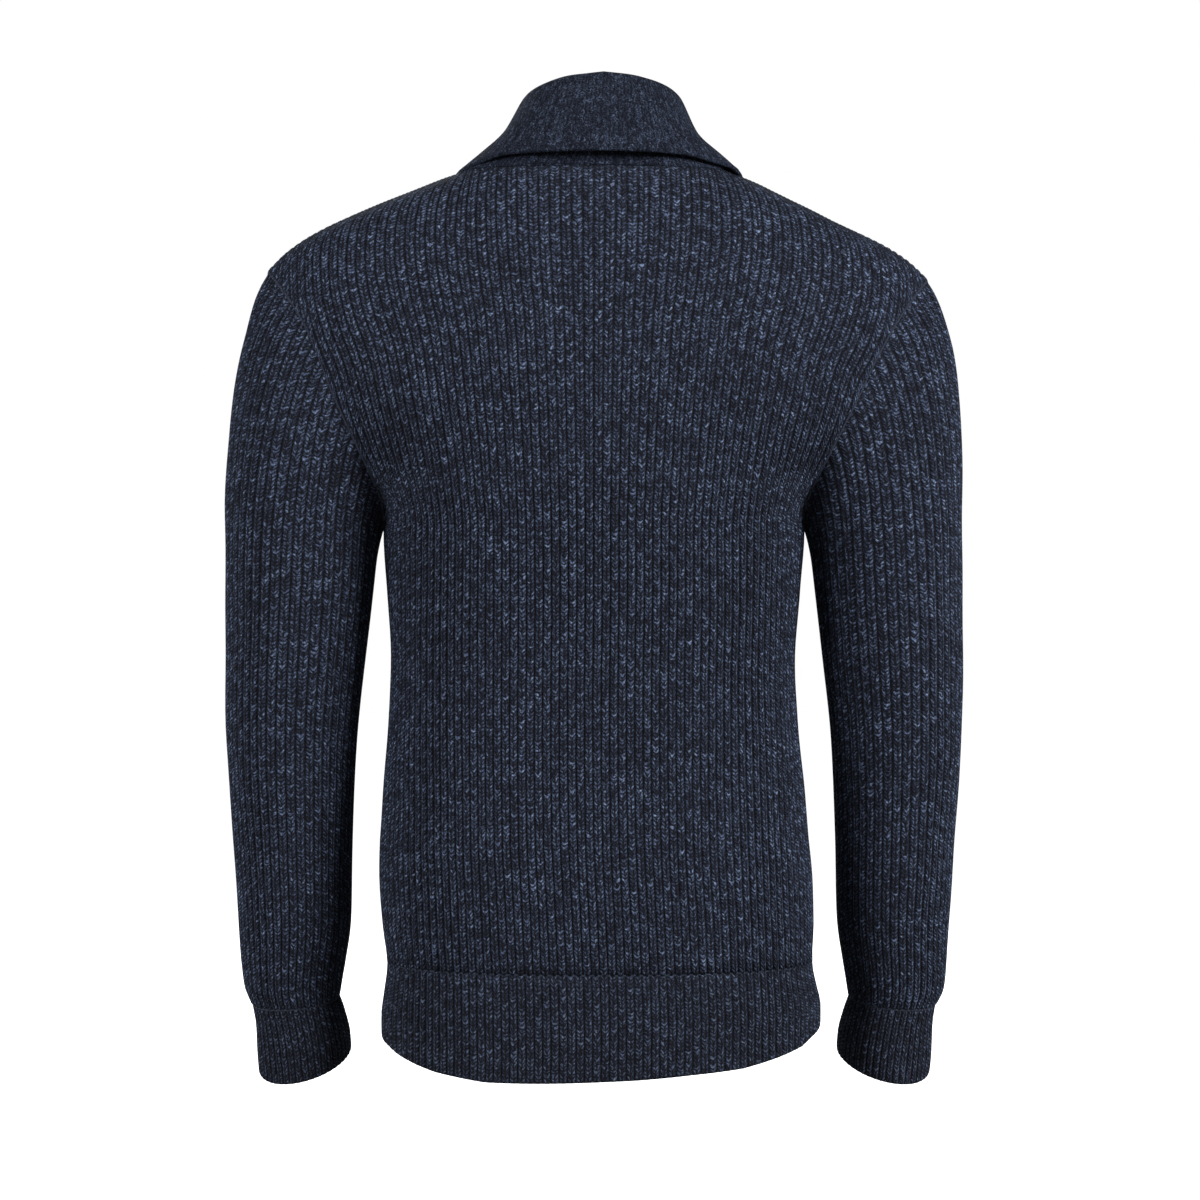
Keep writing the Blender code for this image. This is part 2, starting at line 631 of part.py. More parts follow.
def addCloth():
    backColumns = backRibs + 1
    frontColumns = 2 * frontRibs + 1
    sleeveColumnCount = 2 * sleeveRibs
    back = panelGrid(1, backColumns, backSteps)
    front = panelGrid(-1, frontColumns, frontSteps)
    sleeve = sleeveGrid(sleeveRows)
    cuff = np.array([ovalRing(readRing(cuffRings, place), sleeveColumnCount)
                     for place in sorted(cuffRows, reverse=True)])
    whole = wholeBack(back)
    middle = back.shape[1] - 1
    wholeNormals = gridNormals(whole)
    backNormals = wholeNormals[:, middle::-1].copy()
    frontNormals = gridNormals(front)
    sleeveNormals = gridNormals(sleeve, closed=True)
    meetAtShoulder(back, backNormals, front, frontNormals)
    meetAtSides(backNormals, len(bodyRowHeights))
    meetAtSides(frontNormals, len(bodyRowHeights))
    meetAtArmhole(backNormals, frontNormals, sleeveNormals)
    wallMesh("back_panel", "body", whole, ribLifts(whole.shape[1]), wholeBack(backNormals))
    hem = wholeBack(hemGrid(1, backColumns))
    hemNormals = gridNormals(hem)
    hemNormals[:, [0, -1]] = unit(hemNormals[:, [0, -1]] * np.array([1.0, 0.0, 1.0]))
    wallMesh("hem_back", "rib", hem, ribLifts(hem.shape[1]), hemNormals)
    frontHem = hemGrid(-1, frontColumns)
    frontHemNormals = gridNormals(frontHem)
    meetAtSides(frontHemNormals, len(frontHem))
    for name, slot, grid, normals in (("front", "body", front, frontNormals),
                                      ("hem_front", "rib", frontHem, frontHemNormals)):
        wallMesh(name + "_left", slot, grid, ribLifts(frontColumns), normals)
        wallMesh(name + "_right", slot, mirrored(grid), ribLifts(frontColumns),
                 mirrored(normals))
    lifts = np.tile(ribLifts(sleeveColumnCount, closed=True), (len(sleeve), 1))
    lifts[-1] = 0.0
    cuffLifts = ribLifts(sleeveColumnCount, closed=True) * cuffRibShare
    cuffNormals = gridNormals(cuff, closed=True)
    wallMesh("sleeve_left", "body", sleeve, lifts, sleeveNormals, closed=True)
    wallMesh("sleeve_right", "body", mirrored(sleeve), lifts[:, ::-1],
             mirrored(sleeveNormals), closed=True)
    wallMesh("cuff_left", "rib", cuff, cuffLifts, cuffNormals, closed=True)
    wallMesh("cuff_right", "rib", mirrored(cuff), cuffLifts[::-1], mirrored(cuffNormals),
             closed=True)
    addCollar(back, backNormals, front, frontNormals)


def bandGrid(left, right):
    # A button band on the front's middle, from the hem's edge up to the lapels.
    heights = [hemSide - hemDroop, *bodyRowHeights, armpit, breakPoint - seamGap]
    places = np.linspace(right, left, bandColumns)
    return np.array([[frontPoint(across, height) for across in places] for height in heights])


def addBands():
    under = bandGrid(bandHalf, -bandHalf)
    wallMesh("band_right", "collar", under, underBandLift, insideStep=2)
    over = bandGrid(bandHalf + bandLap, -bandHalf)
    wallMesh("band_left", "collar", over, bandLift + bandWall, inside=-bandLift, insideStep=2)
    addButtons(over)


def addButtons(band):
    # The buttons lie on the outer band's outside, square to it.
    middle = np.array([[np.interp(0.0, row[:, 0], row[:, axis]) for axis in range(3)]
                       for row in band])
    for number, height in enumerate(buttonHeights, start=1):
        low, seat, high = [np.array([0.0, np.interp(level, middle[:, 2], middle[:, 1]), level])
                           for level in (height - buttonRadius, height, height + buttonRadius)]
        normal = unit(np.cross(np.array([1.0, 0.0, 0.0]), high - low))
        seat = seat + normal * (bandLift + bandWall + seamGap + buttonThick / 2)
        turn = Vector((0, 0, 1)).rotation_difference(Vector(normal)).to_matrix().to_4x4()
        bm = bmesh.new()
        bmesh.ops.create_cone(bm, cap_ends=True, segments=buttonSides, radius1=buttonRadius,
                              radius2=buttonRadius - buttonTaper, depth=buttonThick)
        front = max(bm.faces, key=lambda face: face.calc_center_median().z)
        bmesh.ops.inset_region(bm, faces=[front], thickness=buttonRim, depth=0.0)
        bmesh.ops.translate(bm, vec=(0, 0, -buttonDish), verts=front.verts[:])
        bmesh.ops.scale(bm, vec=(metresPerMillimetre,) * 3, verts=bm.verts[:])
        bmesh.ops.triangulate(bm, faces=bm.faces[:])
        button = addObject(f"button_{number}", "button", bm)
        button.matrix_world = Matrix.Translation(Vector(seat * metresPerMillimetre)) @ turn


def blend(points, arcs, place):
    return np.array([np.interp(place, arcs, points[:, axis]) for axis in range(3)])


def neckStations(back, backNormals):
    # Where the collar joins the back, from the centre round to the shoulder seam: the panel's
    # edge, its outward normal, the way on past the edge, and the section's key places.
    inNeck = back[-1, :, 0] <= neckHalf + seamReach
    edges = back[-1, inNeck]
    normals = backNormals[-1, inNeck]
    ups = unit(back[-1, inNeck] - back[-2, inNeck])
    arcs = arcLengths(edges)
    reach = np.interp(neckHalf, edges[:, 0], arcs)
    stations = []
    for along in neckParts:
        normal = unit(blend(normals, arcs, along * reach))
        up = blend(ups, arcs, along * reach)
        up = unit(up - normal * np.dot(up, normal))
        if along == neckParts[-1]:
            up = up - np.array([cornerLean, 0.0, 0.0])
        keys = [float(readTable(collarBack, collarColumns, "along", name, along))
                for name in collarColumns[1:]]
        stations.append((blend(edges, arcs, along * reach), normal, up,
                         np.array(keys).reshape(4, 3)))
    return stations


def chestSpot(rise, across, lift):
    # A place lifted off the chest, or off the curve that the neck opening cuts out of it.
    places = np.array([across - normalReach, across, across + normalReach])
    spots = np.array([upperPoints(-1, level, places)
                      for level in (rise - 2 * normalStep, rise - normalStep, rise)])
    return spots[1, 1] + gridNormals(spots)[1, 1] * lift


def lapelStations(front, frontNormals):
    # Where the left lapel joins the front, from the shoulder's ridge down to the break.
    tubeRows = len(bodyRowHeights)
    rises = np.array(rowRises(-1, frontSteps))
    edges = front[tubeRows:-1, 0]
    normals = frontNormals[tubeRows:-1, 0]
    inwards = edges - front[tubeRows:-1, 1]
    heights = edges[:, 2]
    rowPlaces = list(heights[heights > breakPoint + breakGap])
    between = [(low + high) / 2 for low, high in zip(rowPlaces[:-1], rowPlaces[1:])]
    places = sorted([breakPoint, (breakPoint + rowPlaces[0]) / 2, *rowPlaces, *between])
    stations = []
    for height in places[::-1]:
        rise = min(float(np.interp(height, heights, rises)), lapelTop)
        edge = blend(edges, heights, height)
        normal = unit(blend(normals, heights, height))
        inward = blend(inwards, heights, height)
        inward = unit(inward - normal * np.dot(inward, normal))
        roll, outer, lift = [float(readTable(lapelSections, lapelColumns, "height", name, height))
                             for name in ("roll", "edge", "lift")]
        up = np.array([0.0, 0.0, lift])
        stand = chestSpot(rise, (edge[0] + roll) / 2, lapelStandLift)
        stand = stand + up * lapelStandShare
        fold = chestSpot(rise, roll, lapelRollLift) + up
        fall = chestSpot(rise, roll + (outer - roll) * lapelFallPart, lapelFallLift)
        fall = fall + up * lapelFallShare
        tip = chestSpot(rise, outer, lapelEdgeLift)
        stations.append((edge, normal, inward, np.array([stand, fold, fall, tip])))
    return stations


def collarSection(edge, normal, up, keys, way):
    # One section: the outside and the inside of its wall, from the neck seam over the roll to
    # the fall's edge.
    stand, roll, fall, tip = [key.copy() for key in keys]
    for key in (stand, roll, fall):
        key[0] -= collarSlope * max(key[2], 0.0)
    root = edge + up * seamGap - normal * (wallInside - ribHeight) / 2
    rise = unit(roll - (stand + fall) / 2)
    out = fall - stand
    out = unit(out - rise * np.dot(out, rise))
    bend = [roll - out * rollRadius, roll + rise * rollRadius, roll + out * rollRadius]
    bend.insert(1, roll + unit(rise - out) * rollRadius)
    bend.insert(3, roll + unit(rise + out) * rollRadius)
    line = np.array([root, (root + stand) / 2 + up * 1.0, stand] + bend
                    + [fall, (fall + tip) / 2, tip])
    ways = unit(np.gradient(line, axis=0))
    sides = unit(np.cross(way, ways))
    if np.dot(sides[0], normal) < 0:
        sides = -sides
    sides[0] = normal
    return line + sides * collarWall / 2, line - sides * collarWall / 2


def addCollar(back, backNormals, front, frontNormals):
    stations = neckStations(back, backNormals) + lapelStations(front, frontNormals)
    middles = np.array([edge + keys[1] for edge, _, _, keys in stations])
    ways = unit(np.gradient(middles, axis=0))
    ways[0] = (1.0, 0.0, 0.0)
    over = np.array([-1.0, 1.0, 1.0])
    left = [collarSection(*station, way) for station, way in zip(stations, ways)]
    right = [collarSection(edge * over, normal * over, up * over, keys * over, way * over)
             for (edge, normal, up, keys), way in zip(stations[1:], ways[1:])]
    bm = bmesh.new()
    rings = []
    for outside, inside in left[::-1] + right:
        ring = np.vstack([outside, inside[::-1]])
        rings.append([bm.verts.new(point * metresPerMillimetre) for point in ring])
    size = len(rings[0])
    for here, after in zip(rings[:-1], rings[1:]):
        for step in range(size):
            following = (step + 1) % size
            bm.faces.new((here[step], here[following], after[following], after[step]))
    for ring in (rings[0], rings[-1]):
        for step in range(size // 2 - 1):
            bm.faces.new((ring[step], ring[step + 1], ring[size - 2 - step], ring[size - 1 - step]))
    bmesh.ops.triangulate(bm, faces=bm.faces[:])
    addObject("shawl_collar", "collar", bm)


materials = {}


def makeMaterials():
    for slot, colour in clothColours.items():
        material = bpy.data.materials.new(slot)
        material.use_nodes = True
        shader = material.node_tree.nodes["Principled BSDF"]
        shader.inputs["Base Color"].default_value = (*colour, 1.0)
        shader.inputs["Roughness"].default_value = 0.35 if slot == "button" else 0.95
        shader.inputs["Metallic"].default_value = 0.0
        materials[slot] = material


def clearScene():
    for thing in list(bpy.data.objects):
        bpy.data.objects.remove(thing, do_unlink=True)


def main():
    clearScene()
    makeMaterials()
    addCloth()
    addBands()


main()
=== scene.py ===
# Shawl collar cardigan in ribbed navy wool, hollow as if worn, seen from behind.
# Shapes are worked out in millimetres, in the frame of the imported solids, and turned into
# metres as each mesh is made. +Z is up, the front faces -Y and +X is the wearer's left.
import math

import bmesh
import bpy
import numpy as np
from mathutils import Matrix, Vector


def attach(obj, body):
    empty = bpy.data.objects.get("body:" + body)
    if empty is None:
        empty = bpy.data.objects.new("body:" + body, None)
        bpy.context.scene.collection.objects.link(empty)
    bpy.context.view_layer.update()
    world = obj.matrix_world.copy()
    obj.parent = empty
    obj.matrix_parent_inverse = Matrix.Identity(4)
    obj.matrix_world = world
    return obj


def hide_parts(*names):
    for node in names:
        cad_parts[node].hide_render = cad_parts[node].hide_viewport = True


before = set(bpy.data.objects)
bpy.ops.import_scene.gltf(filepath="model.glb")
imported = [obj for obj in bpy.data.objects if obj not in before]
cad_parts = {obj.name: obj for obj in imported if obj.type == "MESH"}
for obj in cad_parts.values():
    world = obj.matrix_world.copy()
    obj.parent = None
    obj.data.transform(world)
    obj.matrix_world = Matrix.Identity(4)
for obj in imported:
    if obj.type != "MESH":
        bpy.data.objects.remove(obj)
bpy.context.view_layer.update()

millimetre = 0.001
acrossMirror = np.array([-1.0, 1.0, 1.0])

picture = {
    "distance": 2.6,       # metres from the middle of the garment to the camera
    "height": -0.300,
    "aimAcross": -0.0046,
    "aimHeight": -0.328,
    "lens": 102.6,
}
studio = {
    "floorHeight": -0.95,
    "floorSize": 24.0,
    "floorColour": (0.93, 0.94, 0.95),
    "floorGlow": 1.0,
    "skyColour": (1.0, 1.0, 1.0),
    "skyStrength": 1.0,    # as the camera sees it
    "skyLight": 0.05,      # as it lights the cloth
}
# Each light: place, aim, width, power in watts
studioLights = {
    "keyLight": ((-2.45, 1.75, 0.9), (0.0, 0.0, -0.3), 1.2, 114.0),
    "fillLight": ((2.45, 1.75, 0.7), (0.0, 0.0, -0.3), 1.2, 60.0),
    "sideLight": ((3.0, 0.4, 0.4), (0.0, 0.0, -0.3), 1.2, 16.0),
    "topLight": ((0.0, 2.9, 1.9), (0.0, 0.0, -0.25), 1.3, 6.0),
    "frontLight": ((0.6, -3.0, 1.2), (0.0, 0.0, -0.3), 2.4, 70.0),
}


def added(name, data):
    thing = bpy.data.objects.new(name, data)
    bpy.context.scene.collection.objects.link(thing)
    return thing


def meshFrom(name, bm):
    mesh = bpy.data.meshes.new(name)
    bm.to_mesh(mesh)
    bm.free()
    return mesh


def aimed(name, data, place, aim):
    thing = added(name, data)
    thing.location = place
    thing.rotation_euler = (Vector(aim) - Vector(place)).to_track_quat("-Z", "Y").to_euler()
    return thing


def makeCamera():
    data = bpy.data.cameras.new("camera")
    data.lens = picture["lens"]
    data.clip_end = 100.0
    across = picture["aimAcross"]
    place = (across, picture["distance"], picture["height"])
    aim = (across, 0.0, picture["aimHeight"])
    bpy.context.scene.camera = aimed("camera", data, place, aim)
    bpy.context.scene.view_settings.view_transform = "Standard"


def makeFloor():
    bm = bmesh.new()
    bmesh.ops.create_grid(bm, x_segments=1, y_segments=1, size=studio["floorSize"] / 2)
    bmesh.ops.translate(bm, vec=(0, 0, studio["floorHeight"]), verts=bm.verts[:])
    floor = added("floor", meshFrom("floor", bm))
    paint = bpy.data.materials.new("floorPaint")
    paint.use_nodes = True
    shader = paint.node_tree.nodes["Principled BSDF"]
    shader.inputs["Base Color"].default_value = (*studio["floorColour"], 1)
    shader.inputs["Roughness"].default_value = 0.8
    shader.inputs["Emission Color"].default_value = (1, 1, 1, 1)
    shader.inputs["Emission Strength"].default_value = studio["floorGlow"]
    floor.data.materials.append(paint)
    floor.visible_diffuse = False


def makeSky():
    # One sky for the camera, as pale as paper, and a dimmer one that lights the cloth.
    world = bpy.data.worlds.new("studio")
    world.use_nodes = True
    tree = world.node_tree
    sky = tree.nodes["Background"]
    paper = tree.nodes.new("ShaderNodeBackground")
    for background, strength in ((sky, "skyLight"), (paper, "skyStrength")):
        background.inputs["Color"].default_value = (*studio["skyColour"], 1)
        background.inputs["Strength"].default_value = studio[strength]
    seen = tree.nodes.new("ShaderNodeLightPath").outputs["Is Camera Ray"]
    either = tree.nodes.new("ShaderNodeMixShader")
    for socket, source in zip(either.inputs, (seen, sky.outputs[0], paper.outputs[0])):
        tree.links.new(source, socket)
    tree.links.new(either.outputs[0], tree.nodes["World Output"].inputs["Surface"])
    bpy.context.scene.world = world


def makeLights():
    for name, (place, aim, width, power) in studioLights.items():
        lamp = bpy.data.lights.new(name, "AREA")
        lamp.size = width
        lamp.energy = power
        aimed(name, lamp, place, aim)


makeCamera()
makeFloor()
makeSky()
makeLights()
print("camera, floor and lights are made")


# Finishes. On knitted cloth the map "knit" counts ribs across and stitches along.
bodyKnit = {
    "dark": (0.0150, 0.0172, 0.0275),
    "middle": (0.049, 0.062, 0.106),
    "light": (0.112, 0.152, 0.258),
    "fleck": (0.30, 0.390, 0.58),
    # the valley colour is painted shade, for the hollows between the ribs and between the stitches'
    # strands
    "valley": (0.0088, 0.0090, 0.0118),
    "stops": (0.25, 0.46, 0.62, 0.80),    # the shades that give dark, middle, light and fleck
    "wander": 0.24,      # how far the stitches stray, in ribs
    "wanderAlong": 4.5,  # how much farther they stray along a rib
    "straySize": 290.0,  # the fineness of that straying
    "slant": 1.1,        # how far each leg of a stitch rises across half a rib, in stitches
    "roundness": 1.5,    # 1 gives stitches like a V, more gives a U
    "legPlace": 0.47,
    "legWidth": 0.34,
    "loops": 0.24,       # the share of the stitches whose legs join
    "loopWidth": 0.22,
    "taper": 2.2,        # how quickly each stitch narrows towards its ends
    "shade": 0.47,
    "chance": 0.30,      # how much the stitches' shades differ
    "fuzz": 1.0,         # how much the shade differs within a stitch
    "fuzzSize": 820.0,
    "patches": 0.10,     # how much the shade differs over the cloth
    "patchSize": 38.0,
    "relief": 0.0009,
    "bump": 0.8,
    "haze": 0.7,         # loose fibres over the valleys
    "specular": 0.04,
    "sheen": 0.02,
    "sheenTint": (0.62, 0.72, 0.92),
}
# The hem's and the cuffs' copies of the body's knit are painted darker: painted shade, for the
# light that falls off towards the bottom of the garment
ribKnitPaintedShade = dict(bodyKnit, middle=(0.042, 0.053, 0.090), light=(0.092, 0.122, 0.198),
               fleck=(0.18, 0.23, 0.34))
cuffKnitPaintedShade = dict(bodyKnit, middle=(0.041, 0.050, 0.083), light=(0.088, 0.114, 0.186),
                fleck=(0.18, 0.23, 0.35))
collarKnit = dict(bodyKnit, dark=(0.0112, 0.0135, 0.0225), middle=(0.034, 0.043, 0.071),
                  light=(0.074, 0.098, 0.158), fleck=(0.155, 0.20, 0.30),
                  # the collar's valley colour is painted shade in its hollows
                  valley=(0.0062, 0.0070, 0.0112), wander=0.85, straySize=470.0, slant=0.9,
                  legWidth=0.46, relief=0.0006)


def graphFor(name):
    # A new material, with short ways to add its nodes and to feed its shader.
    material = bpy.data.materials.new(name)
    material.use_nodes = True
    tree = material.node_tree

    def feed(sockets, values):
        for key, value in values.items():
            if isinstance(value, bpy.types.NodeSocket):
                tree.links.new(value, sockets[key])
            else:
                sockets[key].default_value = value

    def put(kind, inputs=(), **settings):
        node = tree.nodes.new(kind)
        for key, value in settings.items():
            setattr(node, key, value)
        feed(node.inputs, dict(inputs))
        return node

    def calc(operation, *values, clamp=False):
        return put("ShaderNodeMath", dict(enumerate(values)), operation=operation,
                   use_clamp=clamp).outputs[0]

    def mix(part, first, second):
        # Sockets 6 and 7 of the node are its two colours, and its output 2 is the mixed one.
        colours = [(*colour, 1) if isinstance(colour, tuple) else colour
                   for colour in (first, second)]
        return put("ShaderNodeMix", {0: part, 6: colours[0], 7: colours[1]},
                   data_type="RGBA").outputs[2]

    def shaded(values):
        feed(tree.nodes["Principled BSDF"].inputs, values)
        return material

    return put, calc, mix, shaded


def knitFinish(name, look):
    put, calc, mix, shaded = graphFor(name)
    place = put("ShaderNodeTexCoord").outputs["Object"]

    def plus(first, second):
        return calc("ADD", first, second)

    def minus(first, second):
        return calc("SUBTRACT", first, second)

    def times(first, second):
        return calc("MULTIPLY", first, second)

    def noise(size, detail, output="Fac"):
        return put("ShaderNodeTexNoise", {"Vector": place, "Scale": size, "Detail": detail}
                   ).outputs[output]

    def chanceAt(across, along):
        cell = put("ShaderNodeCombineXYZ", {"X": calc("FLOOR", across), "Y": calc("FLOOR", along)})
        return put("ShaderNodeTexWhiteNoise", {"Vector": cell.outputs[0]},
                   noise_dimensions="2D").outputs["Value"]

    knitMap = put("ShaderNodeUVMap", uv_map="knit").outputs["UV"]
    split = put("ShaderNodeSeparateXYZ", {"Vector": knitMap})
    stray = put("ShaderNodeSeparateColor", {"Color": noise(look["straySize"], 1.0, "Color")})
    strayAcross = times(minus(stray.outputs[0], 0.5), look["wander"])
    strayAlong = times(minus(stray.outputs[1], 0.5), look["wander"] * look["wanderAlong"])
    across = plus(split.outputs["X"], strayAcross)
    fromMiddle = times(calc("ABSOLUTE", minus(calc("FRACT", across), 0.5)), 2.0)
    along = minus(plus(split.outputs["Y"], strayAlong),
                  times(calc("POWER", fromMiddle, look["roundness"]), look["slant"]))
    joined = times(calc("LESS_THAN", chanceAt(across, along), look["loops"]), look["loopWidth"])
    # The strand's own roundness, across the leg of the stitch and along it
    offLeg = calc("DIVIDE", calc("ABSOLUTE", minus(fromMiddle, minus(look["legPlace"], joined))),
                  plus(look["legWidth"], joined))
    leg = calc("SUBTRACT", 1.0, calc("POWER", offLeg, 2.0), clamp=True)
    onStrand = calc("FRACT", along)
    strand = times(times(onStrand, minus(1.0, onStrand)), 4.0)
    height = times(leg, calc("POWER", strand, look["taper"]))
    # Every leg of every stitch has its own shade of heather
    fuzz = noise(look["fuzzSize"], 3.0)
    shade = plus(look["shade"], times(joined, 0.10))
    for part, amount in ((chanceAt(times(across, 2.0), along), look["chance"]),
                         (fuzz, look["fuzz"]), (noise(look["patchSize"], 3.0), look["patches"])):
        shade = plus(shade, times(minus(part, 0.5), amount))
    ramp = put("ShaderNodeValToRGB", {"Fac": shade})
    stops = ramp.color_ramp.elements
    colours = [(*look[key], 1) for key in ("dark", "middle", "light", "fleck")]
    stops[0].position, stops[0].color = look["stops"][0], colours[0]
    stops[1].position, stops[1].color = look["stops"][-1], colours[-1]
    for part, colour in zip(look["stops"][1:-1], colours[1:-1]):
        stops.new(part).color = colour
    haze = calc("MULTIPLY", minus(fuzz, 0.42), look["haze"], clamp=True)
    # Where the strands sink, between the ribs and between the stitches, the colour runs into the
    # valley colour: painted shade in those hollows, lifted where the loose fibres of the haze lie
    # over them
    colour = mix(calc("MAXIMUM", calc("POWER", height, 0.75), haze), look["valley"],
                 ramp.outputs["Color"])
    bump = put("ShaderNodeBump", {"Height": plus(height, times(fuzz, 0.25)),
                                  "Strength": look["bump"], "Distance": look["relief"]})
    return shaded({"Base Color": colour, "Normal": bump.outputs["Normal"],
                   "Roughness": plus(times(fuzz, 0.16), 0.82),
                   "Specular IOR Level": look["specular"], "Sheen Weight": look["sheen"],
                   "Sheen Roughness": 0.45, "Sheen Tint": (*look["sheenTint"], 1)})


yarnLook = {"dark": (0.010, 0.012, 0.018), "light": (0.050, 0.062, 0.098), "twist": 520.0}
hornLook = {"dark": (0.010, 0.0085, 0.0085), "light": (0.040, 0.031, 0.028), "grain": 160.0}


def yarnFinish():
    put, calc, mix, shaded = graphFor("seamYarn")
    place = put("ShaderNodeTexCoord").outputs["Object"]
    twist = put("ShaderNodeTexWave", {"Vector": place, "Scale": yarnLook["twist"],
                                      "Distortion": 3.0, "Detail": 2.0},
                bands_direction="DIAGONAL").outputs["Fac"]
    bump = put("ShaderNodeBump", {"Height": twist, "Strength": 0.6, "Distance": 0.0004})
    return shaded({"Base Color": mix(twist, yarnLook["dark"], yarnLook["light"]),
                   "Normal": bump.outputs["Normal"], "Roughness": 0.9,
                   "Specular IOR Level": 0.2})


def hornFinish():
    put, calc, mix, shaded = graphFor("buttonHorn")
    place = put("ShaderNodeTexCoord").outputs["Object"]
    stretch = put("ShaderNodeMapping", {"Vector": place, "Scale": (1.0, 1.0, 4.0)})
    grain = put("ShaderNodeTexNoise", {"Vector": stretch.outputs["Vector"],
                                       "Scale": hornLook["grain"], "Detail": 4.0,
                                       "Distortion": 1.2}).outputs["Fac"]
    bump = put("ShaderNodeBump", {"Height": grain, "Strength": 0.12, "Distance": 0.0003})
    return shaded({"Base Color": mix(grain, hornLook["dark"], hornLook["light"]),
                   "Roughness": calc("ADD", calc("MULTIPLY", grain, 0.2), 0.24),
                   "Normal": bump.outputs["Normal"]})


finishes = {
    "body": knitFinish("bodyKnit", bodyKnit),
    "rib": knitFinish("ribKnitPaintedShade", ribKnitPaintedShade),
    "cuff": knitFinish("cuffKnitPaintedShade", cuffKnitPaintedShade),
    "collar": knitFinish("collarKnit", collarKnit),
    "yarn": yarnFinish(),
    "button": hornFinish(),
}
print("finishes are made")


def tableOf(names, rows):
    return dict(zip(names.split(), np.array(rows, dtype=float).T))


# The garment's own measures
cloth = {
    "inside": 2.4,        # from the middle of the ribs' height to the inside
    "insideRib": 0.35,
    "crest": 0.75,
    "valley": -1.1,
    "squareness": 2.1,    # how flat the crest of a rib is
    "groove": 0.32,       # between the two legs on the crest
    "grooveWidth": 0.17,
    "finesse": 4,         # fine columns for each column of the solids
    "stitchTall": 2.95,
    "seamGap": 0.32,
    "unevenness": 0.55,
}
body = {
    "backRibs": 68, "frontRibs": 31,
    "spreadColumns": 15.0,    # how far in from the side seam the ribs spread apart
    "hemTop": -602.0, "hemSide": -666.0, "hemDroop": 13.0, "armpit": -286.0,
    "shoulderBlade": -200.0, "shoulderRound": 2.2, "seamTuck": 2.0,
    "tubeRows": 34, "upperRows": 44,
    "cutOver": 0.22,    # the share of the armhole over which its seam starts to cut off ribs
}
bodySections = tableOf("height halfWidth backDepth frontDepth squareness", [
    (-690.0, 166.0, 104.0, 112.0, 2.35),
    (-648.0, 166.0, 104.0, 112.0, 2.35),
    (-625.0, 163.5, 103.5, 111.5, 2.35),
    (-602.0, 161.0, 102.5, 111.0, 2.35),
    (-575.0, 163.2, 103.5, 112.0, 2.35),
    (-541.0, 163.8, 104.0, 112.0, 2.35),
    (-480.0, 159.8, 101.5, 110.0, 2.35),
    (-420.0, 155.0, 99.0, 109.5, 2.35),
    (-374.0, 152.8, 98.5, 110.5, 2.35),
    (-328.0, 156.0, 101.5, 113.5, 2.3),
    (-286.0, 159.0, 106.5, 117.0, 2.25),
    (-240.0, 159.0, 110.0, 120.0, 2.15),
    (-200.0, 159.0, 111.0, 120.0, 2.1),
    (60.0, 159.0, 111.0, 120.0, 2.1),
])
shoulderSections = tableOf("across ridge neckSeam", [
    (0.0, 40.0, -6.0),
    (50.0, 27.0, -5.6),
    (80.0, 10.0, -5.0),
    (92.0, 2.5, -4.6),
    (100.0, -3.0, -4.6),
    (117.0, -9.5, -4.6),
    (136.0, -17.0, -4.6),
    (155.0, -24.5, -4.6),
    (186.0, -38.5, -4.6),
    (217.0, -54.0, -4.6),
    (235.0, -66.0, -4.6),
    (250.0, -80.0, -4.6),
])
# The armhole seam of the left sleeve, from the armpit up: across, depth, height
armholeRows = {
    1: [(159.0, 0.0, -286.0), (158.5, 15.0, -273.0), (160.0, 30.0, -257.0),
        (166.0, 45.0, -237.0), (175.5, 56.5, -214.0), (186.0, 62.0, -192.0),
        (196.0, 62.0, -171.0), (206.5, 57.0, -147.0), (219.5, 46.5, -122.0),
        (235.0, 30.5, -99.0), (249.0, 12.0, -82.0)],
    -1: [(159.0, 0.0, -286.0), (158.0, -16.0, -273.0), (158.0, -33.0, -257.0),
         (161.5, -49.0, -237.0), (169.5, -61.5, -214.0), (179.5, -68.0, -192.0),
         (189.5, -67.5, -171.0), (201.5, -60.5, -147.0), (216.5, -46.0, -121.0),
         (234.5, -24.5, -97.0), (249.5, 0.0, -80.0)],
}
# How wide the ribs are at the centre back: height, width. The ribs beside the seams take up
# what is left.
ribWidths = [(-700.0, 6.14), (-600.0, 6.14), (-275.0, 6.17), (-237.0, 6.36), (-199.0, 6.58),
             (-161.0, 6.87), (-123.0, 7.2), (-85.0, 7.75), (-47.0, 8.15), (-10.0, 8.3)]
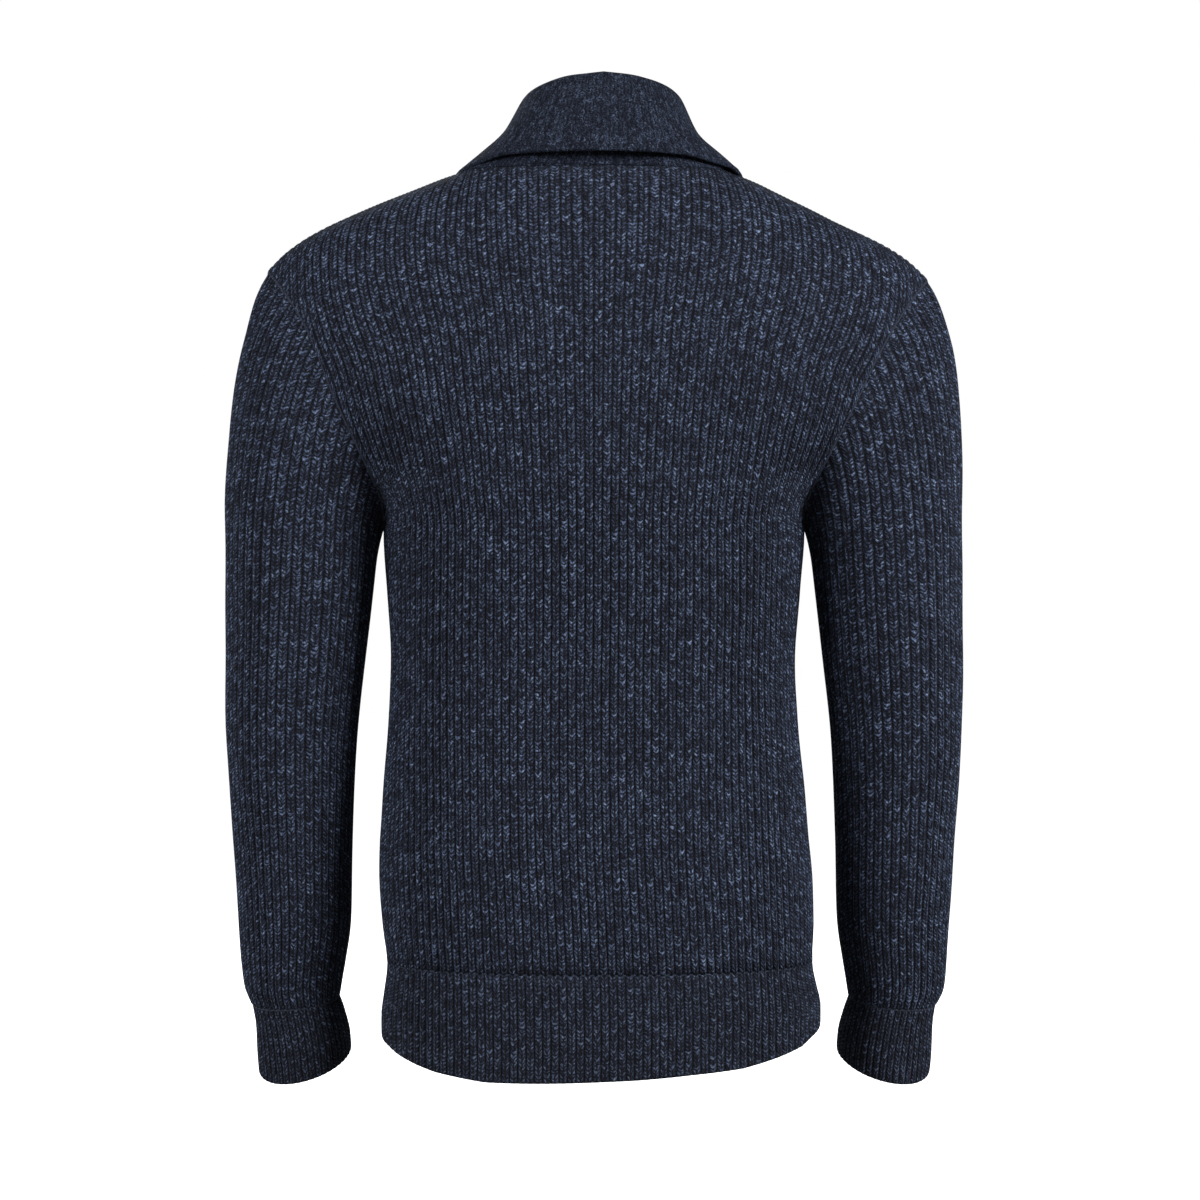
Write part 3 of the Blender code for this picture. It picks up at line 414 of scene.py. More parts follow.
# How the garment hangs: how far it rises or drops by its place across, in "shoulders" and
# "hem", and how far it leans across by its height, in "lean" and "arms"
settle = {
    "shoulders": [(-250.0, -4.0), (-180.0, -4.2), (-150.0, -2.6), (-124.0, 0.0), (-100.0, 0.8),
                  (-80.0, 0.0), (150.0, 0.0), (200.0, 1.5), (250.0, 2.2)],
    "shouldersFrom": -330.0, "shouldersOver": 150.0,
    "lean": [(-690.0, -5.2), (-640.0, -5.6), (-615.0, -5.0), (-570.0, -3.2), (-510.0, -0.3),
             (-450.0, 0.7), (-390.0, 0.7), (-330.0, 0.0)],
    "arms": [(-260.0, 0.0), (-200.0, -1.2), (-130.0, -3.2), (-85.0, -3.0), (-60.0, -1.5),
             (-30.0, 0.0)],
    "armsFrom": 170.0, "armsOver": 60.0,
    "armpit": (160.0, -292.0), "armpitRise": 11.0, "armpitReach": (26.0, 42.0),
    "hem": [(-170.0, 16.0), (-158.0, 14.0), (-150.0, 10.5), (-131.0, 7.5), (-105.0, 4.1),
            (-66.0, 2.8), (-26.0, 0.5), (30.0, -1.8), (86.0, -3.9), (123.0, -1.4),
            (138.0, 1.0), (152.0, 3.9), (160.0, 6.5), (170.0, 7.5)],
    "hemOver": 62.0,
}


def unit(vectors):
    return vectors / np.maximum(np.linalg.norm(vectors, axis=-1, keepdims=True), 1e-9)


def square(vector, normal):
    # The part of a direction that is square to the normal.
    return unit(vector - normal * np.dot(vector, normal))


def eased(part):
    part = np.clip(part, 0.0, 1.0)
    return part * part * (3 - 2 * part)


def between(part, start, end, startSlope, endSlope):
    return ((1 + 2 * part) * (1 - part) ** 2 * start + part ** 2 * (3 - 2 * part) * end
            + part * (1 - part) ** 2 * startSlope + part ** 2 * (part - 1) * endSlope)


def readStraight(table, at):
    return np.interp(at, *zip(*table))


def readSmooth(knots, values, at):
    # A curve through the table's values that never swings past them.
    knots, values, at = (np.asarray(part, dtype=float) for part in (knots, values, at))
    steps = np.diff(knots)
    rises = np.diff(values) / steps
    slopes = np.empty(len(knots))
    slopes[0], slopes[-1] = rises[0], rises[-1]
    before, after = rises[:-1], rises[1:]
    steady = before * after > 0
    slopes[1:-1] = np.where(steady, 2 * before * after / np.where(steady, before + after, 1.0), 0.0)
    place = np.clip(np.searchsorted(knots, at) - 1, 0, len(steps) - 1)
    part = np.clip((at - knots[place]) / steps[place], 0.0, 1.0)
    return between(part, values[place], values[place + 1], steps[place] * slopes[place],
                   steps[place] * slopes[place + 1])


def bodyAt(name, height):
    return readSmooth(bodySections["height"], bodySections[name], height)


def shoulderAt(name, across):
    return readSmooth(shoulderSections["across"], shoulderSections[name], across)


def ribWidthAt(height):
    return float(readSmooth(*zip(*ribWidths), height))


def arcLengths(points):
    return np.concatenate([[0.0], np.cumsum(np.linalg.norm(np.diff(points, axis=0), axis=1))])


def readPoint(points, knots, at):
    return np.stack([np.interp(at, knots, points[:, axis]) for axis in range(3)], axis=-1)


def alongLine(points, lengths):
    return readPoint(points, arcLengths(points), lengths)


def evenLine(points, count):
    return alongLine(points, np.linspace(0, arcLengths(points)[-1], count))


def smoothLine(points, count):
    # A smooth curve through points that may lie near or far from each other.
    points = np.asarray(points, dtype=float)
    steps = np.linalg.norm(np.diff(points, axis=0), axis=1) ** 0.5
    knots = np.concatenate([[0.0], np.cumsum(steps)])
    gaps = np.diff(knots)[:, None]
    slopes = np.diff(points, axis=0) / gaps
    inner = (slopes[:-1] * gaps[1:] + slopes[1:] * gaps[:-1]) / (gaps[1:] + gaps[:-1])
    tangents = np.vstack([slopes[:1], inner, slopes[-1:]])
    at = np.linspace(0, knots[-1], count)
    place = np.clip(np.searchsorted(knots, at) - 1, 0, len(gaps) - 1)
    part = ((at - knots[place]) / gaps[place, 0])[:, None]
    return between(part, points[place], points[place + 1], gaps[place] * tangents[place],
                   gaps[place] * tangents[place + 1])


def armholeCurve(points, pieces=24):
    # A smooth curve with the same number of steps between every two of its points.
    points = np.asarray(points, dtype=float)
    padded = np.vstack([2 * points[0] - points[1], points, 2 * points[-1] - points[-2]])
    part = np.linspace(0, 1, pieces, endpoint=False)[:, None]
    curve = []
    for before, start, end, after in zip(padded, padded[1:], padded[2:], padded[3:]):
        curve.append(0.5 * (2 * start + (end - before) * part
                            + (2 * before - 5 * start + 4 * end - after) * part ** 2
                            + (3 * start - before - 3 * end + after) * part ** 3))
    curve = np.vstack(curve + [points[-1:]])
    curve[:, 2] = np.maximum.accumulate(curve[:, 2])
    return curve


armholes = {side: armholeCurve(points) for side, points in armholeRows.items()}


def riseOf(side, heights):
    # A height as a share of the armhole's, 0 at the armpit and 1 at the shoulder.
    low, high = armholes[side][[0, -1], 2]
    return (heights - low) / (high - low)


def armholeAt(side, rise):
    curve = armholes[side]
    heights = riseOf(side, curve[:, 2]) + np.linspace(0, 1e-9, len(curve))
    return readPoint(curve, heights, rise)


def upperPoints(side, rise, across):
    # Places on the back (side 1) or the chest (side -1) above the armpits, at one rise.
    edgeX, edgeY, edgeZ = armholeAt(side, rise)
    shoulderX = armholes[side][-1, 0]
    share = np.abs(across) / edgeX
    topX = share * shoulderX
    top = shoulderAt("ridge", topX)
    if side > 0:
        top = np.minimum(shoulderAt("neckSeam", topX), top - body["seamTuck"])
    height = body["armpit"] + rise * (top - body["armpit"])
    depthName = "backDepth" if side > 0 else "frontDepth"
    power = bodyAt("squareness", edgeZ)

    def cap(x, z):
        blade, turn = body["shoulderBlade"], body["shoulderRound"]
        part = np.clip((z - blade) / (shoulderAt("ridge", x) - blade), 0, 1)
        return (1 - part ** turn) ** (1 / turn)

    edgeDepth = bodyAt(depthName, edgeZ) * cap(shoulderX, edgeZ)
    reach = (1 - np.clip(abs(edgeY) / np.maximum(edgeDepth, 1e-6), 0, 1) ** power) ** (1 / power)
    bow = np.maximum(1 - (reach * share) ** power, 0.0) ** (1 / power)
    return np.stack([across, side * bodyAt(depthName, height) * bow * cap(topX, height), height],
                    axis=-1)


def ringPoints(side, height, across):
    height = np.broadcast_to(np.asarray(height, dtype=float), np.shape(across))
    power = bodyAt("squareness", height)
    share = np.clip(np.abs(across) / bodyAt("halfWidth", height), 0.0, 1.0)
    depths = bodyAt("backDepth" if side > 0 else "frontDepth", height)
    return np.stack([across, side * depths * np.maximum(1 - share ** power, 0) ** (1 / power),
                     height], axis=-1)


def halfRow(side, inner, height=None, rise=None):
    # The left half of one row of the body, from its inner end to the side or armhole seam.
    outer = float(bodyAt("halfWidth", height)) if rise is None else float(armholeAt(side, rise)[0])
    across = inner + (outer - inner) * np.sin(np.linspace(0, math.pi / 2, 481))
    if rise is None:
        return ringPoints(side, height, across)
    row = upperPoints(side, rise, across)
    row[-1] = armholeAt(side, rise)
    return row


def ribPlaces(row, columnCount):
    # Fine places along a row, even but for the ribs that spread apart beside the side seam.
    length = arcLengths(row)[-1]
    fromSeam = (columnCount - 1.5 - np.arange(columnCount - 1)) / body["spreadColumns"]
    share = np.exp(-fromSeam ** 2)
    even = length
    if abs(row[0, 0]) < 1:
        even = (columnCount - 1) * ribWidthAt(row[0, 2]) / 2
    spread = (length / even - 1) * (columnCount - 1) / share.sum()
    widths = 1 + max(spread, -0.6) * share
    shares = np.concatenate([[0.0], np.cumsum(widths)]) / np.sum(widths)
    fine = np.arange((columnCount - 1) * cloth["finesse"] + 1) / cloth["finesse"]
    shares = np.interp(fine, np.arange(columnCount), shares)
    return alongLine(row, shares * (length - cloth["seamGap"] / 2))


def gridNormals(grid, closed=False):
    if closed:
        inner = grid[:, :-1]
        acrossStep = np.roll(inner, -1, axis=1) - np.roll(inner, 1, axis=1)
        acrossStep = np.concatenate([acrossStep, acrossStep[:, :1]], axis=1)
    else:
        acrossStep = np.gradient(grid, axis=1)
    return unit(np.cross(acrossStep, np.gradient(grid, axis=0)))


def mirrored(grid):
    return (grid * acrossMirror)[:, ::-1]


def ribCount(grid):
    # The ribs counted from the first column, where each rib has a whole number of columns.
    return np.broadcast_to(np.arange(grid.shape[1]) / (2 * cloth["finesse"]), grid.shape[:2])


def ribWave(across):
    # 1 on the crest of each rib and 0 in the valleys.
    fromCrest = np.abs(2 * (across % 1.0) - 1)
    groove = np.exp(-(fromCrest / cloth["grooveWidth"]) ** 2)
    span = cloth["crest"] - cloth["valley"]
    return 1 - fromCrest ** cloth["squareness"] - cloth["groove"] / span * groove


def ribLifts(across, share=1.0):
    return (cloth["valley"] + (cloth["crest"] - cloth["valley"]) * ribWave(across)) * share


def fadeRows(lifts, low, high, level):
    # Flattens the ribs over the given number of rows at the bottom and at the top.
    rows = np.arange(len(lifts))
    part = np.ones(len(lifts))
    if low:
        part = np.minimum(part, (rows + 0.3) / low)
    if high:
        part = np.minimum(part, (len(lifts) - 1 - rows + 0.3) / high)
    return level + (lifts - level) * eased(part)[:, None]


def uneven(grid, seed):
    # Low swells and hollows such as hand-worn knitwear has, still at the edges of a piece.
    x, y, z = grid[..., 0], grid[..., 1], grid[..., 2]
    swell = (np.sin(x / 27 + seed) * np.sin(z / 41 + 2 * seed)
             + 0.6 * np.sin((x + y) / 15 + z / 33 + seed) + 0.4 * np.sin(z / 13 - y / 21 + seed))
    rows, columns = (np.minimum(np.arange(count), np.arange(count)[::-1])
                     for count in grid.shape[:2])
    calm = np.minimum(np.clip(rows / 4, 0, 1)[:, None], np.clip(columns / 16, 0, 1)[None, :])
    return swell * calm * cloth["unevenness"]


def ownMesh(name, bm, finish, flat=()):
    for face in bm.faces:
        face.smooth = face not in flat
    piece = added(name, meshFrom(name, bm))
    piece.data.materials.append(finishes[finish])
    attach(piece, "root")
    return piece


def settled(name, places):
    # The small unevenness with which the worn garment hangs.
    places = np.array(places, dtype=float)
    x, z = places[..., 0].copy(), places[..., 2].copy()
    high = eased((z - settle["shouldersFrom"]) / settle["shouldersOver"])
    places[..., 2] += high * readStraight(settle["shoulders"], x)
    outward = eased((np.abs(x) - settle["armsFrom"]) / settle["armsOver"])
    places[..., 0] += readStraight(settle["arms"], z) * outward
    (armpitX, armpitZ), (reachX, reachZ) = settle["armpit"], settle["armpitReach"]
    places[..., 2] += settle["armpitRise"] * np.exp(
        -((np.abs(x) - armpitX) / reachX) ** 2 - ((z - armpitZ) / reachZ) ** 2)
    if not name.startswith(("sleeve", "cuff", "armhole")):
        places[..., 0] += readStraight(settle["lean"], z)
        low = eased((body["hemTop"] - z) / settle["hemOver"])
        places[..., 2] += low * readStraight(settle["hem"], x)
    return places


# Which ends of a piece meet another one: 1 is its first row and 2 its last. Those ends are
# flat, so that the light runs on over the join, and the others are rounded.
joinedEnds = {"hem": (2,), "cuff": (2,), "band": (2,), "shawl": (1,)}


def clothPiece(name, outer, inner, knit, finish, closed=False):
    # A wall of cloth from the places of its outside and inside, which are grids of rows, and
    # from the place of each point in the knitting.
    rowCount, columnCount = outer.shape[:2]
    bm = bmesh.new()
    for _ in range(2):
        bmesh.ops.create_grid(bm, x_segments=columnCount - 1, y_segments=rowCount - 1, size=1)
    spot = bm.verts.layers.float_vector.new("spot")
    end = bm.verts.layers.int.new("end")
    knitMap = bm.loops.layers.uv.new("knit")
    half = rowCount * columnCount
    places = np.concatenate([outer.reshape(-1, 3), inner.reshape(-1, 3)])
    places = settled(name, places) * millimetre
    spots = np.tile(knit.reshape(-1, 2), (2, 1))
    for number, (vert, place, (across, along)) in enumerate(zip(bm.verts, places, spots)):
        vert.co = place
        vert[spot] = (across, along, 0.0)
        row = number % half // columnCount
        vert[end] = 1 if row == 0 else 2 if row == rowCount - 1 else 0

    def layMap(faces):
        for face in faces:
            for loop in face.loops:
                loop[knitMap].uv = loop.vert[spot].xy

    # The map is laid before a tube is closed, so that it doesn't run backwards at the join
    layMap(bm.faces)
    bm.faces.ensure_lookup_table()
    bmesh.ops.reverse_faces(bm, faces=bm.faces[len(bm.faces) // 2:])
    laid = set(bm.faces)
    if closed:
        bmesh.ops.remove_doubles(bm, verts=bm.verts[:], dist=1e-6)
        for mark in (1, 2):
            rim = [edge for edge in bm.edges
                   if edge.is_boundary and edge.verts[0][end] == edge.verts[1][end] == mark]
            bmesh.ops.bridge_loops(bm, edges=rim)
    else:
        bmesh.ops.bridge_loops(bm, edges=[edge for edge in bm.edges if edge.is_boundary])
    layMap(face for face in bm.faces if face not in laid)
    if bm.calc_volume(signed=True) < 0:
        bmesh.ops.reverse_faces(bm, faces=bm.faces[:])
    joined = next((ends for start, ends in joinedEnds.items() if name.startswith(start)), (1, 2))
    flat = {face for face in bm.faces
            if face not in laid and all(vert[end] in joined for vert in face.verts)}
    bm.verts.layers.float_vector.remove(spot)
    bm.verts.layers.int.remove(bm.verts.layers.int["end"])
    return ownMesh(name, bm, finish, flat)


def knitPlaces(grid, across):
    # Where each point lies in the knitting: in ribs across and in stitches along.
    steps = np.linalg.norm(np.diff(grid, axis=0), axis=-1)
    along = np.concatenate([np.zeros((1, grid.shape[1])), np.cumsum(steps, axis=0)])
    return np.stack([across, along / cloth["stitchTall"]], axis=-1)


def ribbedPiece(name, node, grid, across, lifts, finish, closed=False, seed=0.0,
                normals=None, insides=None):
    # A panel with ribs, in place of one of the imported solids.
    if normals is None:
        normals = gridNormals(grid, closed)
    if insides is None:
        insides = np.ones(len(grid))
    depth = -cloth["inside"] + cloth["insideRib"] * (0.5 - ribWave(across)[..., None])
    middle = grid + uneven(grid, seed)[..., None] * normals
    outer = middle + normals * lifts[..., None]
    inner = middle + normals * (depth * insides[:, None, None])
    piece = clothPiece(name, outer, inner, knitPlaces(grid, across), finish, closed)
    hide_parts(node)


# The front edge, the bands and the collar
bands = {
    "half": 18.0, "lap": 4.0, "wall": 3.2, "overLift": 1.3, "underOutside": 0.6,
    "columns": 26, "rows": 110, "ribPitch": 3.3,
    "ridges": 5, "ridgeHeight": 0.18,
    "edgeRound": (0.45, 0.78, 0.95),    # the share of the thickness, column by column
}
collar = {
    "wall": 3.4, "rollRadius": 3.6, "slope": 0.06, "lean": 3.4, "leanFrom": -60.0, "leanOver": 70.0,
    "cornerLean": 1.5, "cornerShare": 0.06,    # of the way from the centre to the shoulder seam
    "neckHalf": 100.0, "breakPoint": -235.0, "rootDrop": 0.95,
    "standLift": 0.4, "rollLift": 2.9, "fallLift": 6.2, "fallPart": 0.42, "edgeLift": 3.5,
    "standShare": 0.35, "fallShare": 0.15, "top": 0.9995,
    "neckStations": 40, "lapelStations": 64, "sectionPoints": 58,
    "ribPitch": 4.6, "stitchTall": 2.1, "ripple": 0.5,
    "edgeSteps": (3.6, 2.4, 1.3, 0.55, 0.0),     # from the fall's edge, where it is rounded
    "edgeRound": (1.06, 1.02, 0.78, 0.3),
}
# Round the back of the neck, from the centre to the shoulder seam: the stand's middle, the
# roll, the fall's middle and the fall's lower edge
collarBack = tableOf("along standX standY standZ rollX rollY rollZ fallX fallY fallZ "
                     "edgeX edgeY edgeZ", [
    (0.00, 0.0, 67.5, 28.0, 0.0, 53.0, 60.5, 0.0, 73.5, 35.0, 0.0, 81.0, 3.5),
    (0.30, 24.0, 62.5, 27.5, 21.5, 49.5, 58.6, 28.0, 68.0, 34.5, 34.5, 75.5, 3.5),
    (0.62, 49.5, 45.0, 25.0, 42.5, 37.0, 54.0, 54.0, 49.5, 31.5, 68.5, 58.0, 3.0),
    (0.85, 62.0, 24.5, 18.5, 53.5, 18.5, 49.5, 69.5, 28.0, 25.0, 91.5, 35.0, -2.0),
    (1.00, 68.0, 6.0, 14.0, 57.5, 1.0, 46.0, 75.5, 7.5, 20.0, 108.0, 13.5, -4.6),
])
lapelSections = tableOf("height roll edge neckEdge lift", [
    (-250.0, 6.6, 21.0, 18.3, 0.0),
    (-235.0, 6.8, 23.0, 18.6, 0.0),
    (-215.0, 9.5, 40.0, 23.0, 0.0),
    (-190.0, 14.5, 62.0, 31.5, 0.0),
    (-150.0, 23.5, 86.0, 47.0, 0.0),
    (-110.0, 32.0, 102.0, 62.5, 1.0),
    (-70.0, 41.0, 111.0, 78.0, 4.0),
    (-35.0, 47.5, 114.0, 90.5, 11.0),
    (0.0, 51.0, 114.0, 100.0, 22.0),
])


def lapelAt(name, height):
    return float(readSmooth(lapelSections["height"], lapelSections[name], height))


def neckEdgeAt(rise):
    inner = bands["half"] + cloth["seamGap"]
    edge = inner
    for _ in range(8):
        height = upperPoints(-1, rise, np.array([edge]))[0, 2]
        edge = max(inner, lapelAt("neckEdge", height))
    return edge


def frontPoint(across, height):
    across = np.array([across])
    low = body["armpit"]
    if height <= low:
        return ringPoints(-1, height, across)[0]
    rise = (height - low) / -low
    for _ in range(8):
        now = upperPoints(-1, rise, across)[0]
        rise = float(np.clip(rise * (height - low) / max(now[2] - low, 1e-3), 0.001, 1.0))
    return upperPoints(-1, rise, across)[0]


def seamRises(side, rowCount):
    rises = riseOf(side, evenLine(armholes[side], rowCount)[:, 2])
    rises[-1] = 1.0
    return rises


def panelGrid(side, columnCount):
    # The left half of the back, or the left front, from the hem to the shoulder.
    inner = 0.0 if side > 0 else bands["half"] + cloth["seamGap"]
    rows = [ribPlaces(halfRow(side, inner, height=height), columnCount)
            for height in np.linspace(body["hemTop"], body["armpit"], body["tubeRows"] + 1)[:-1]]
    for rise in seamRises(side, body["upperRows"]):
        start = 0.0 if side > 0 else neckEdgeAt(rise)
        rows.append(ribPlaces(halfRow(side, start, rise=rise), columnCount))
    if side < 0:
        seam = ribPlaces(halfRow(1, collar["neckHalf"], rise=1.0), columnCount)
        for part in (0.5, 1.0):
            rows.append(rows[-1] + (seam - rows[-1]) * part)
        rows[-1] = seam + unit(rows[-3] - seam) * cloth["seamGap"]
    return np.array(rows)


hemRows = (1.0, 0.992, 0.975, 0.94, 0.88, 0.78, 0.66, 0.54, 0.42, 0.3, 0.2, 0.1, 0.0)


def hemGrid(side, columnCount):
    inner = 0.0 if side > 0 else bands["half"] + cloth["seamGap"]
    rows = []
    for part in hemRows:
        level = body["hemTop"] + part * (body["hemSide"] - body["hemTop"])
        row = ribPlaces(halfRow(side, inner, height=level), columnCount)
        turned = np.abs(row[:, 1]) / np.abs(row[:, 1]).max()
        heights = level - part * body["hemDroop"] * turned ** 1.5 - 0.2
        share = row[:, 0] / bodyAt("halfWidth", level)
        rows.append(ringPoints(side, heights, share * bodyAt("halfWidth", heights)))
    return np.array(rows)


def wholeBack(half):
    return np.concatenate([half[:, ::-1], mirrored(half)[:, ::-1][:, 1:]], axis=1)


# How far the outside and the inside of an open edge are drawn in, row by row from the edge
edgeRound = {"outside": (0.35, 0.75, 0.95), "inside": (0.72, 0.9, 0.98), "level": -1.0}


def roundedLifts(lifts):
    shaped = lifts.copy()
    for row, part in enumerate(edgeRound["outside"]):
        shaped[row] = edgeRound["level"] + (lifts[row] - edgeRound["level"]) * part
    return shaped


def roundedInsides(rowCount):
    insides = np.ones(rowCount)
    insides[:3] = edgeRound["inside"]
    return insides


def backRibCount(half):
    # Above the armpits the ribs keep their width, so the armhole's seam cuts some of them off.
    across = ribCount(half).copy()
    for number, row in enumerate(half):
        part = eased(riseOf(1, row[-1, 2]) / body["cutOver"])
        across[number] += part * (arcLengths(row) / ribWidthAt(row[0, 2]) - across[number])
    return across


def panelLifts(across):
    lifts = fadeRows(ribLifts(across), 0, 3, level=-0.1)
    lifts[:, [0, -1]] = -1.0
    return lifts


backColumns = body["backRibs"] + 1
frontColumns = 2 * body["frontRibs"] + 1
backHalf = panelGrid(1, backColumns)
frontHalf = panelGrid(-1, frontColumns)
backGrid = wholeBack(backHalf)
backHalfAcross = backRibCount(backHalf)
backAcross = np.concatenate([-backHalfAcross[:, ::-1], backHalfAcross[:, 1:]], axis=1)
backNormals = gridNormals(backGrid)
frontNormals = gridNormals(frontHalf)
sides = {"Left": 1, "Right": -1}


def onSide(grid, sign):
    return grid if sign > 0 else mirrored(grid)


ribbedPiece("backPanel", "back_panel", backGrid, backAcross, panelLifts(backAcross), "body",
            seed=0.4, normals=backNormals)
for side, sign in sides.items():
    grid = onSide(frontHalf, sign)
    across = ribCount(grid)
    ribbedPiece(f"front{side}", f"front_{side.lower()}", grid, across, panelLifts(across), "body",
                seed=1.3 + sign, normals=onSide(frontNormals, sign))
print("back and fronts are made")


def hemPiece(name, node, grid):
    across = ribCount(grid)
    lifts = roundedLifts(ribLifts(across, share=0.9))
    lifts[:, [0, -1]] = -1.0
    ribbedPiece(name, node, grid, across, lifts, "rib", seed=2.2,
                insides=roundedInsides(len(grid)))


hemHalf = hemGrid(1, backColumns)
hemFrontGrid = hemGrid(-1, frontColumns)
hemPiece("hemBack", "hem_back", wholeBack(hemHalf))
for side, sign in sides.items():
    hemPiece(f"hemFront{side}", f"hem_front_{side.lower()}", onSide(hemFrontGrid, sign))
print("hem rib is made")


sleeves = {
    "rows": 72, "loopFade": 3.0, "cuffShare": 0.85,
    "steps": (168, 8, 176),    # fine columns up the front, over the ridge and down the back
    "capPull": 0.6, "capPower": 1.6,    # how far up the armhole the ribs are cut off
}
# From the outer side to the inner side: x, z, x, z, then how far forward, half the depth and
# how much lower the back is
sleeveRings = [
    (249.5, -81.0, 159.0, -286.0, -2.0, 67.0, 0.0),
    (261.0, -104.0, 160.8, -288.0, -2.0, 66.0, 0.0),
    (271.0, -145.0, 162.6, -293.0, -2.0, 65.0, 0.0),
    (277.0, -200.0, 165.4, -304.0, -3.0, 64.0, 0.0),
    (280.0, -265.0, 168.8, -326.0, -4.0, 63.0, 0.0),
    (280.3, -340.0, 174.8, -372.0, -6.0, 60.0, 0.0),
    (279.8, -420.0, 181.2, -432.0, -9.0, 55.0, 0.0),
    (275.4, -510.0, 185.2, -510.0, -15.0, 49.5, 0.0),
    (271.6, -575.0, 187.0, -572.0, -20.0, 46.0, 0.0),
    (270.2, -607.0, 191.0, -602.0, -22.8, 43.0, 0.6),
    (268.4, -624.0, 193.8, -619.0, -24.0, 41.0, 1.6),
    (262.2, -638.0, 196.0, -633.0, -24.5, 38.2, 3.0),
]
cuffRings = [
    (261.6, -638.4, 195.6, -633.4, -24.5, 37.8, 3.0),
    (259.6, -653.0, 191.6, -645.5, -25.5, 37.0, 6.5),
    (258.6, -673.0, 188.0, -660.0, -26.5, 36.5, 10.0),
    (257.2, -689.5, 187.0, -674.0, -27.5, 36.0, 12.5),
]
cuffPlaces = (3.0, 2.97, 2.91, 2.8, 2.6, 2.3, 2.0, 1.7, 1.4, 1.1, 0.8, 0.55, 0.3, 0.12, 0.0)


def ovalRing(table, place, columnCount):
    # Even places round one oval, from its inner side forward and round to where it began.
    outerX, outerZ, innerX, innerZ, forward, halfDepth, drop = [
        float(readSmooth(np.arange(len(table)), values, place)) for values in zip(*table)]
    angles = np.linspace(0, 2 * math.pi, 1441)[:, None]
    centre = np.array([(outerX + innerX) / 2, forward, (outerZ + innerZ) / 2])
    reach = np.array([(innerX - outerX) / 2, 0.0, (innerZ - outerZ) / 2])
    points = centre + np.cos(angles) * reach - np.sin(angles) * np.array([0.0, halfDepth, -drop])
    return evenLine(points, columnCount + 1)


def armholeLoop():
    # The ribs are cut off ever more closely towards the top, so that they hang straight down.
    front, over, back = sleeves["steps"]

    def places(curve, count):
        share = np.linspace(0, 1, count + 1)
        pulled = 1 - (1 - share) ** sleeves["capPower"]
        share = share + sleeves["capPull"] * (pulled - share)
        return alongLine(curve, share * arcLengths(curve)[-1])

    up = places(armholes[-1], front)
    down = places(armholes[1], back)[::-1]
    return np.vstack([up[:-1], np.linspace(up[-1], down[0], over + 1)[:-1], down])


def sleeveGrid():
    residual = armholeLoop() - ovalRing(sleeveRings, 0.0, sleeveColumns)
    rows = []
    for place in np.linspace(len(sleeveRings) - 1, 0.0, sleeves["rows"]):
        fade = eased(1 - place / sleeves["loopFade"])
        rows.append(ovalRing(sleeveRings, place, sleeveColumns) + fade * residual)
    rows[-1] = rows[-1] + unit(rows[-2] - rows[-1]) * cloth["seamGap"]
    return np.array(rows)


sleeveColumns = sum(sleeves["steps"])
leftSleeve = sleeveGrid()
leftCuff = np.array([ovalRing(cuffRings, place, sleeveColumns) for place in cuffPlaces])
for side, sign in sides.items():
    grid = onSide(leftSleeve, sign)
    across = ribCount(grid)
    ribbedPiece(f"sleeve{side}", f"sleeve_{side.lower()}", grid, across,
                fadeRows(ribLifts(across), 1, 4, level=-0.4), "body",
                closed=True, seed=0.8 + sign)
    grid = onSide(leftCuff, sign)
    across = ribCount(grid)
    ribbedPiece(f"cuff{side}", f"cuff_{side.lower()}", grid, across,
                roundedLifts(ribLifts(across, share=sleeves["cuffShare"])), "cuff",
                closed=True, seed=3.1, insides=roundedInsides(len(grid)))
print("sleeves and cuffs are made")


def bandGrid(low, high):
    heights = np.linspace(body["hemSide"] - body["hemDroop"],
                          collar["breakPoint"] - cloth["seamGap"], bands["rows"])
    # Close columns at both edges let the band's edges be rounded
    share = np.concatenate([[0.0, 0.012, 0.035], np.linspace(0.07, 0.93, bands["columns"]),
                            [0.965, 0.988, 1.0]])
    places = low + (high - low) * share
    return np.array([[frontPoint(across, height) for across in places] for height in heights])


def bandPiece(name, node, low, high, inside, outside):
    grid = bandGrid(low, high)
    normals = gridNormals(grid)
    middle = (inside + outside) / 2
    columnCount = grid.shape[1]
    thick = np.ones(columnCount)
    thick[:3] = thick[:-4:-1] = bands["edgeRound"]
    turns = np.arange(columnCount) / columnCount * 2 * math.pi * bands["ridges"]
    ridge = np.where(thick == 1, bands["ridgeHeight"] * np.cos(turns), 0)
    rowThick = np.ones((len(grid), 1))
    rowThick[0] = 0.7
    half = (outside - inside) / 2 * thick
    outer = grid + normals * (middle + (half + ridge) * rowThick)[..., None]
    inner = grid + normals * (middle - half * rowThick)[..., None]
    knit = knitPlaces(grid, grid[..., 0] / bands["ribPitch"])
    piece = clothPiece(name, outer, inner, knit, "collar")
    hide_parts(node)
    return grid


bandPiece("bandRight", "band_right", -bands["half"], bands["half"],
          -cloth["inside"], bands["underOutside"])
overBand = bandPiece("bandLeft", "band_left", -bands["half"], bands["half"] + bands["lap"],
                     bands["overLift"], bands["overLift"] + bands["wall"])
print("button bands are made")


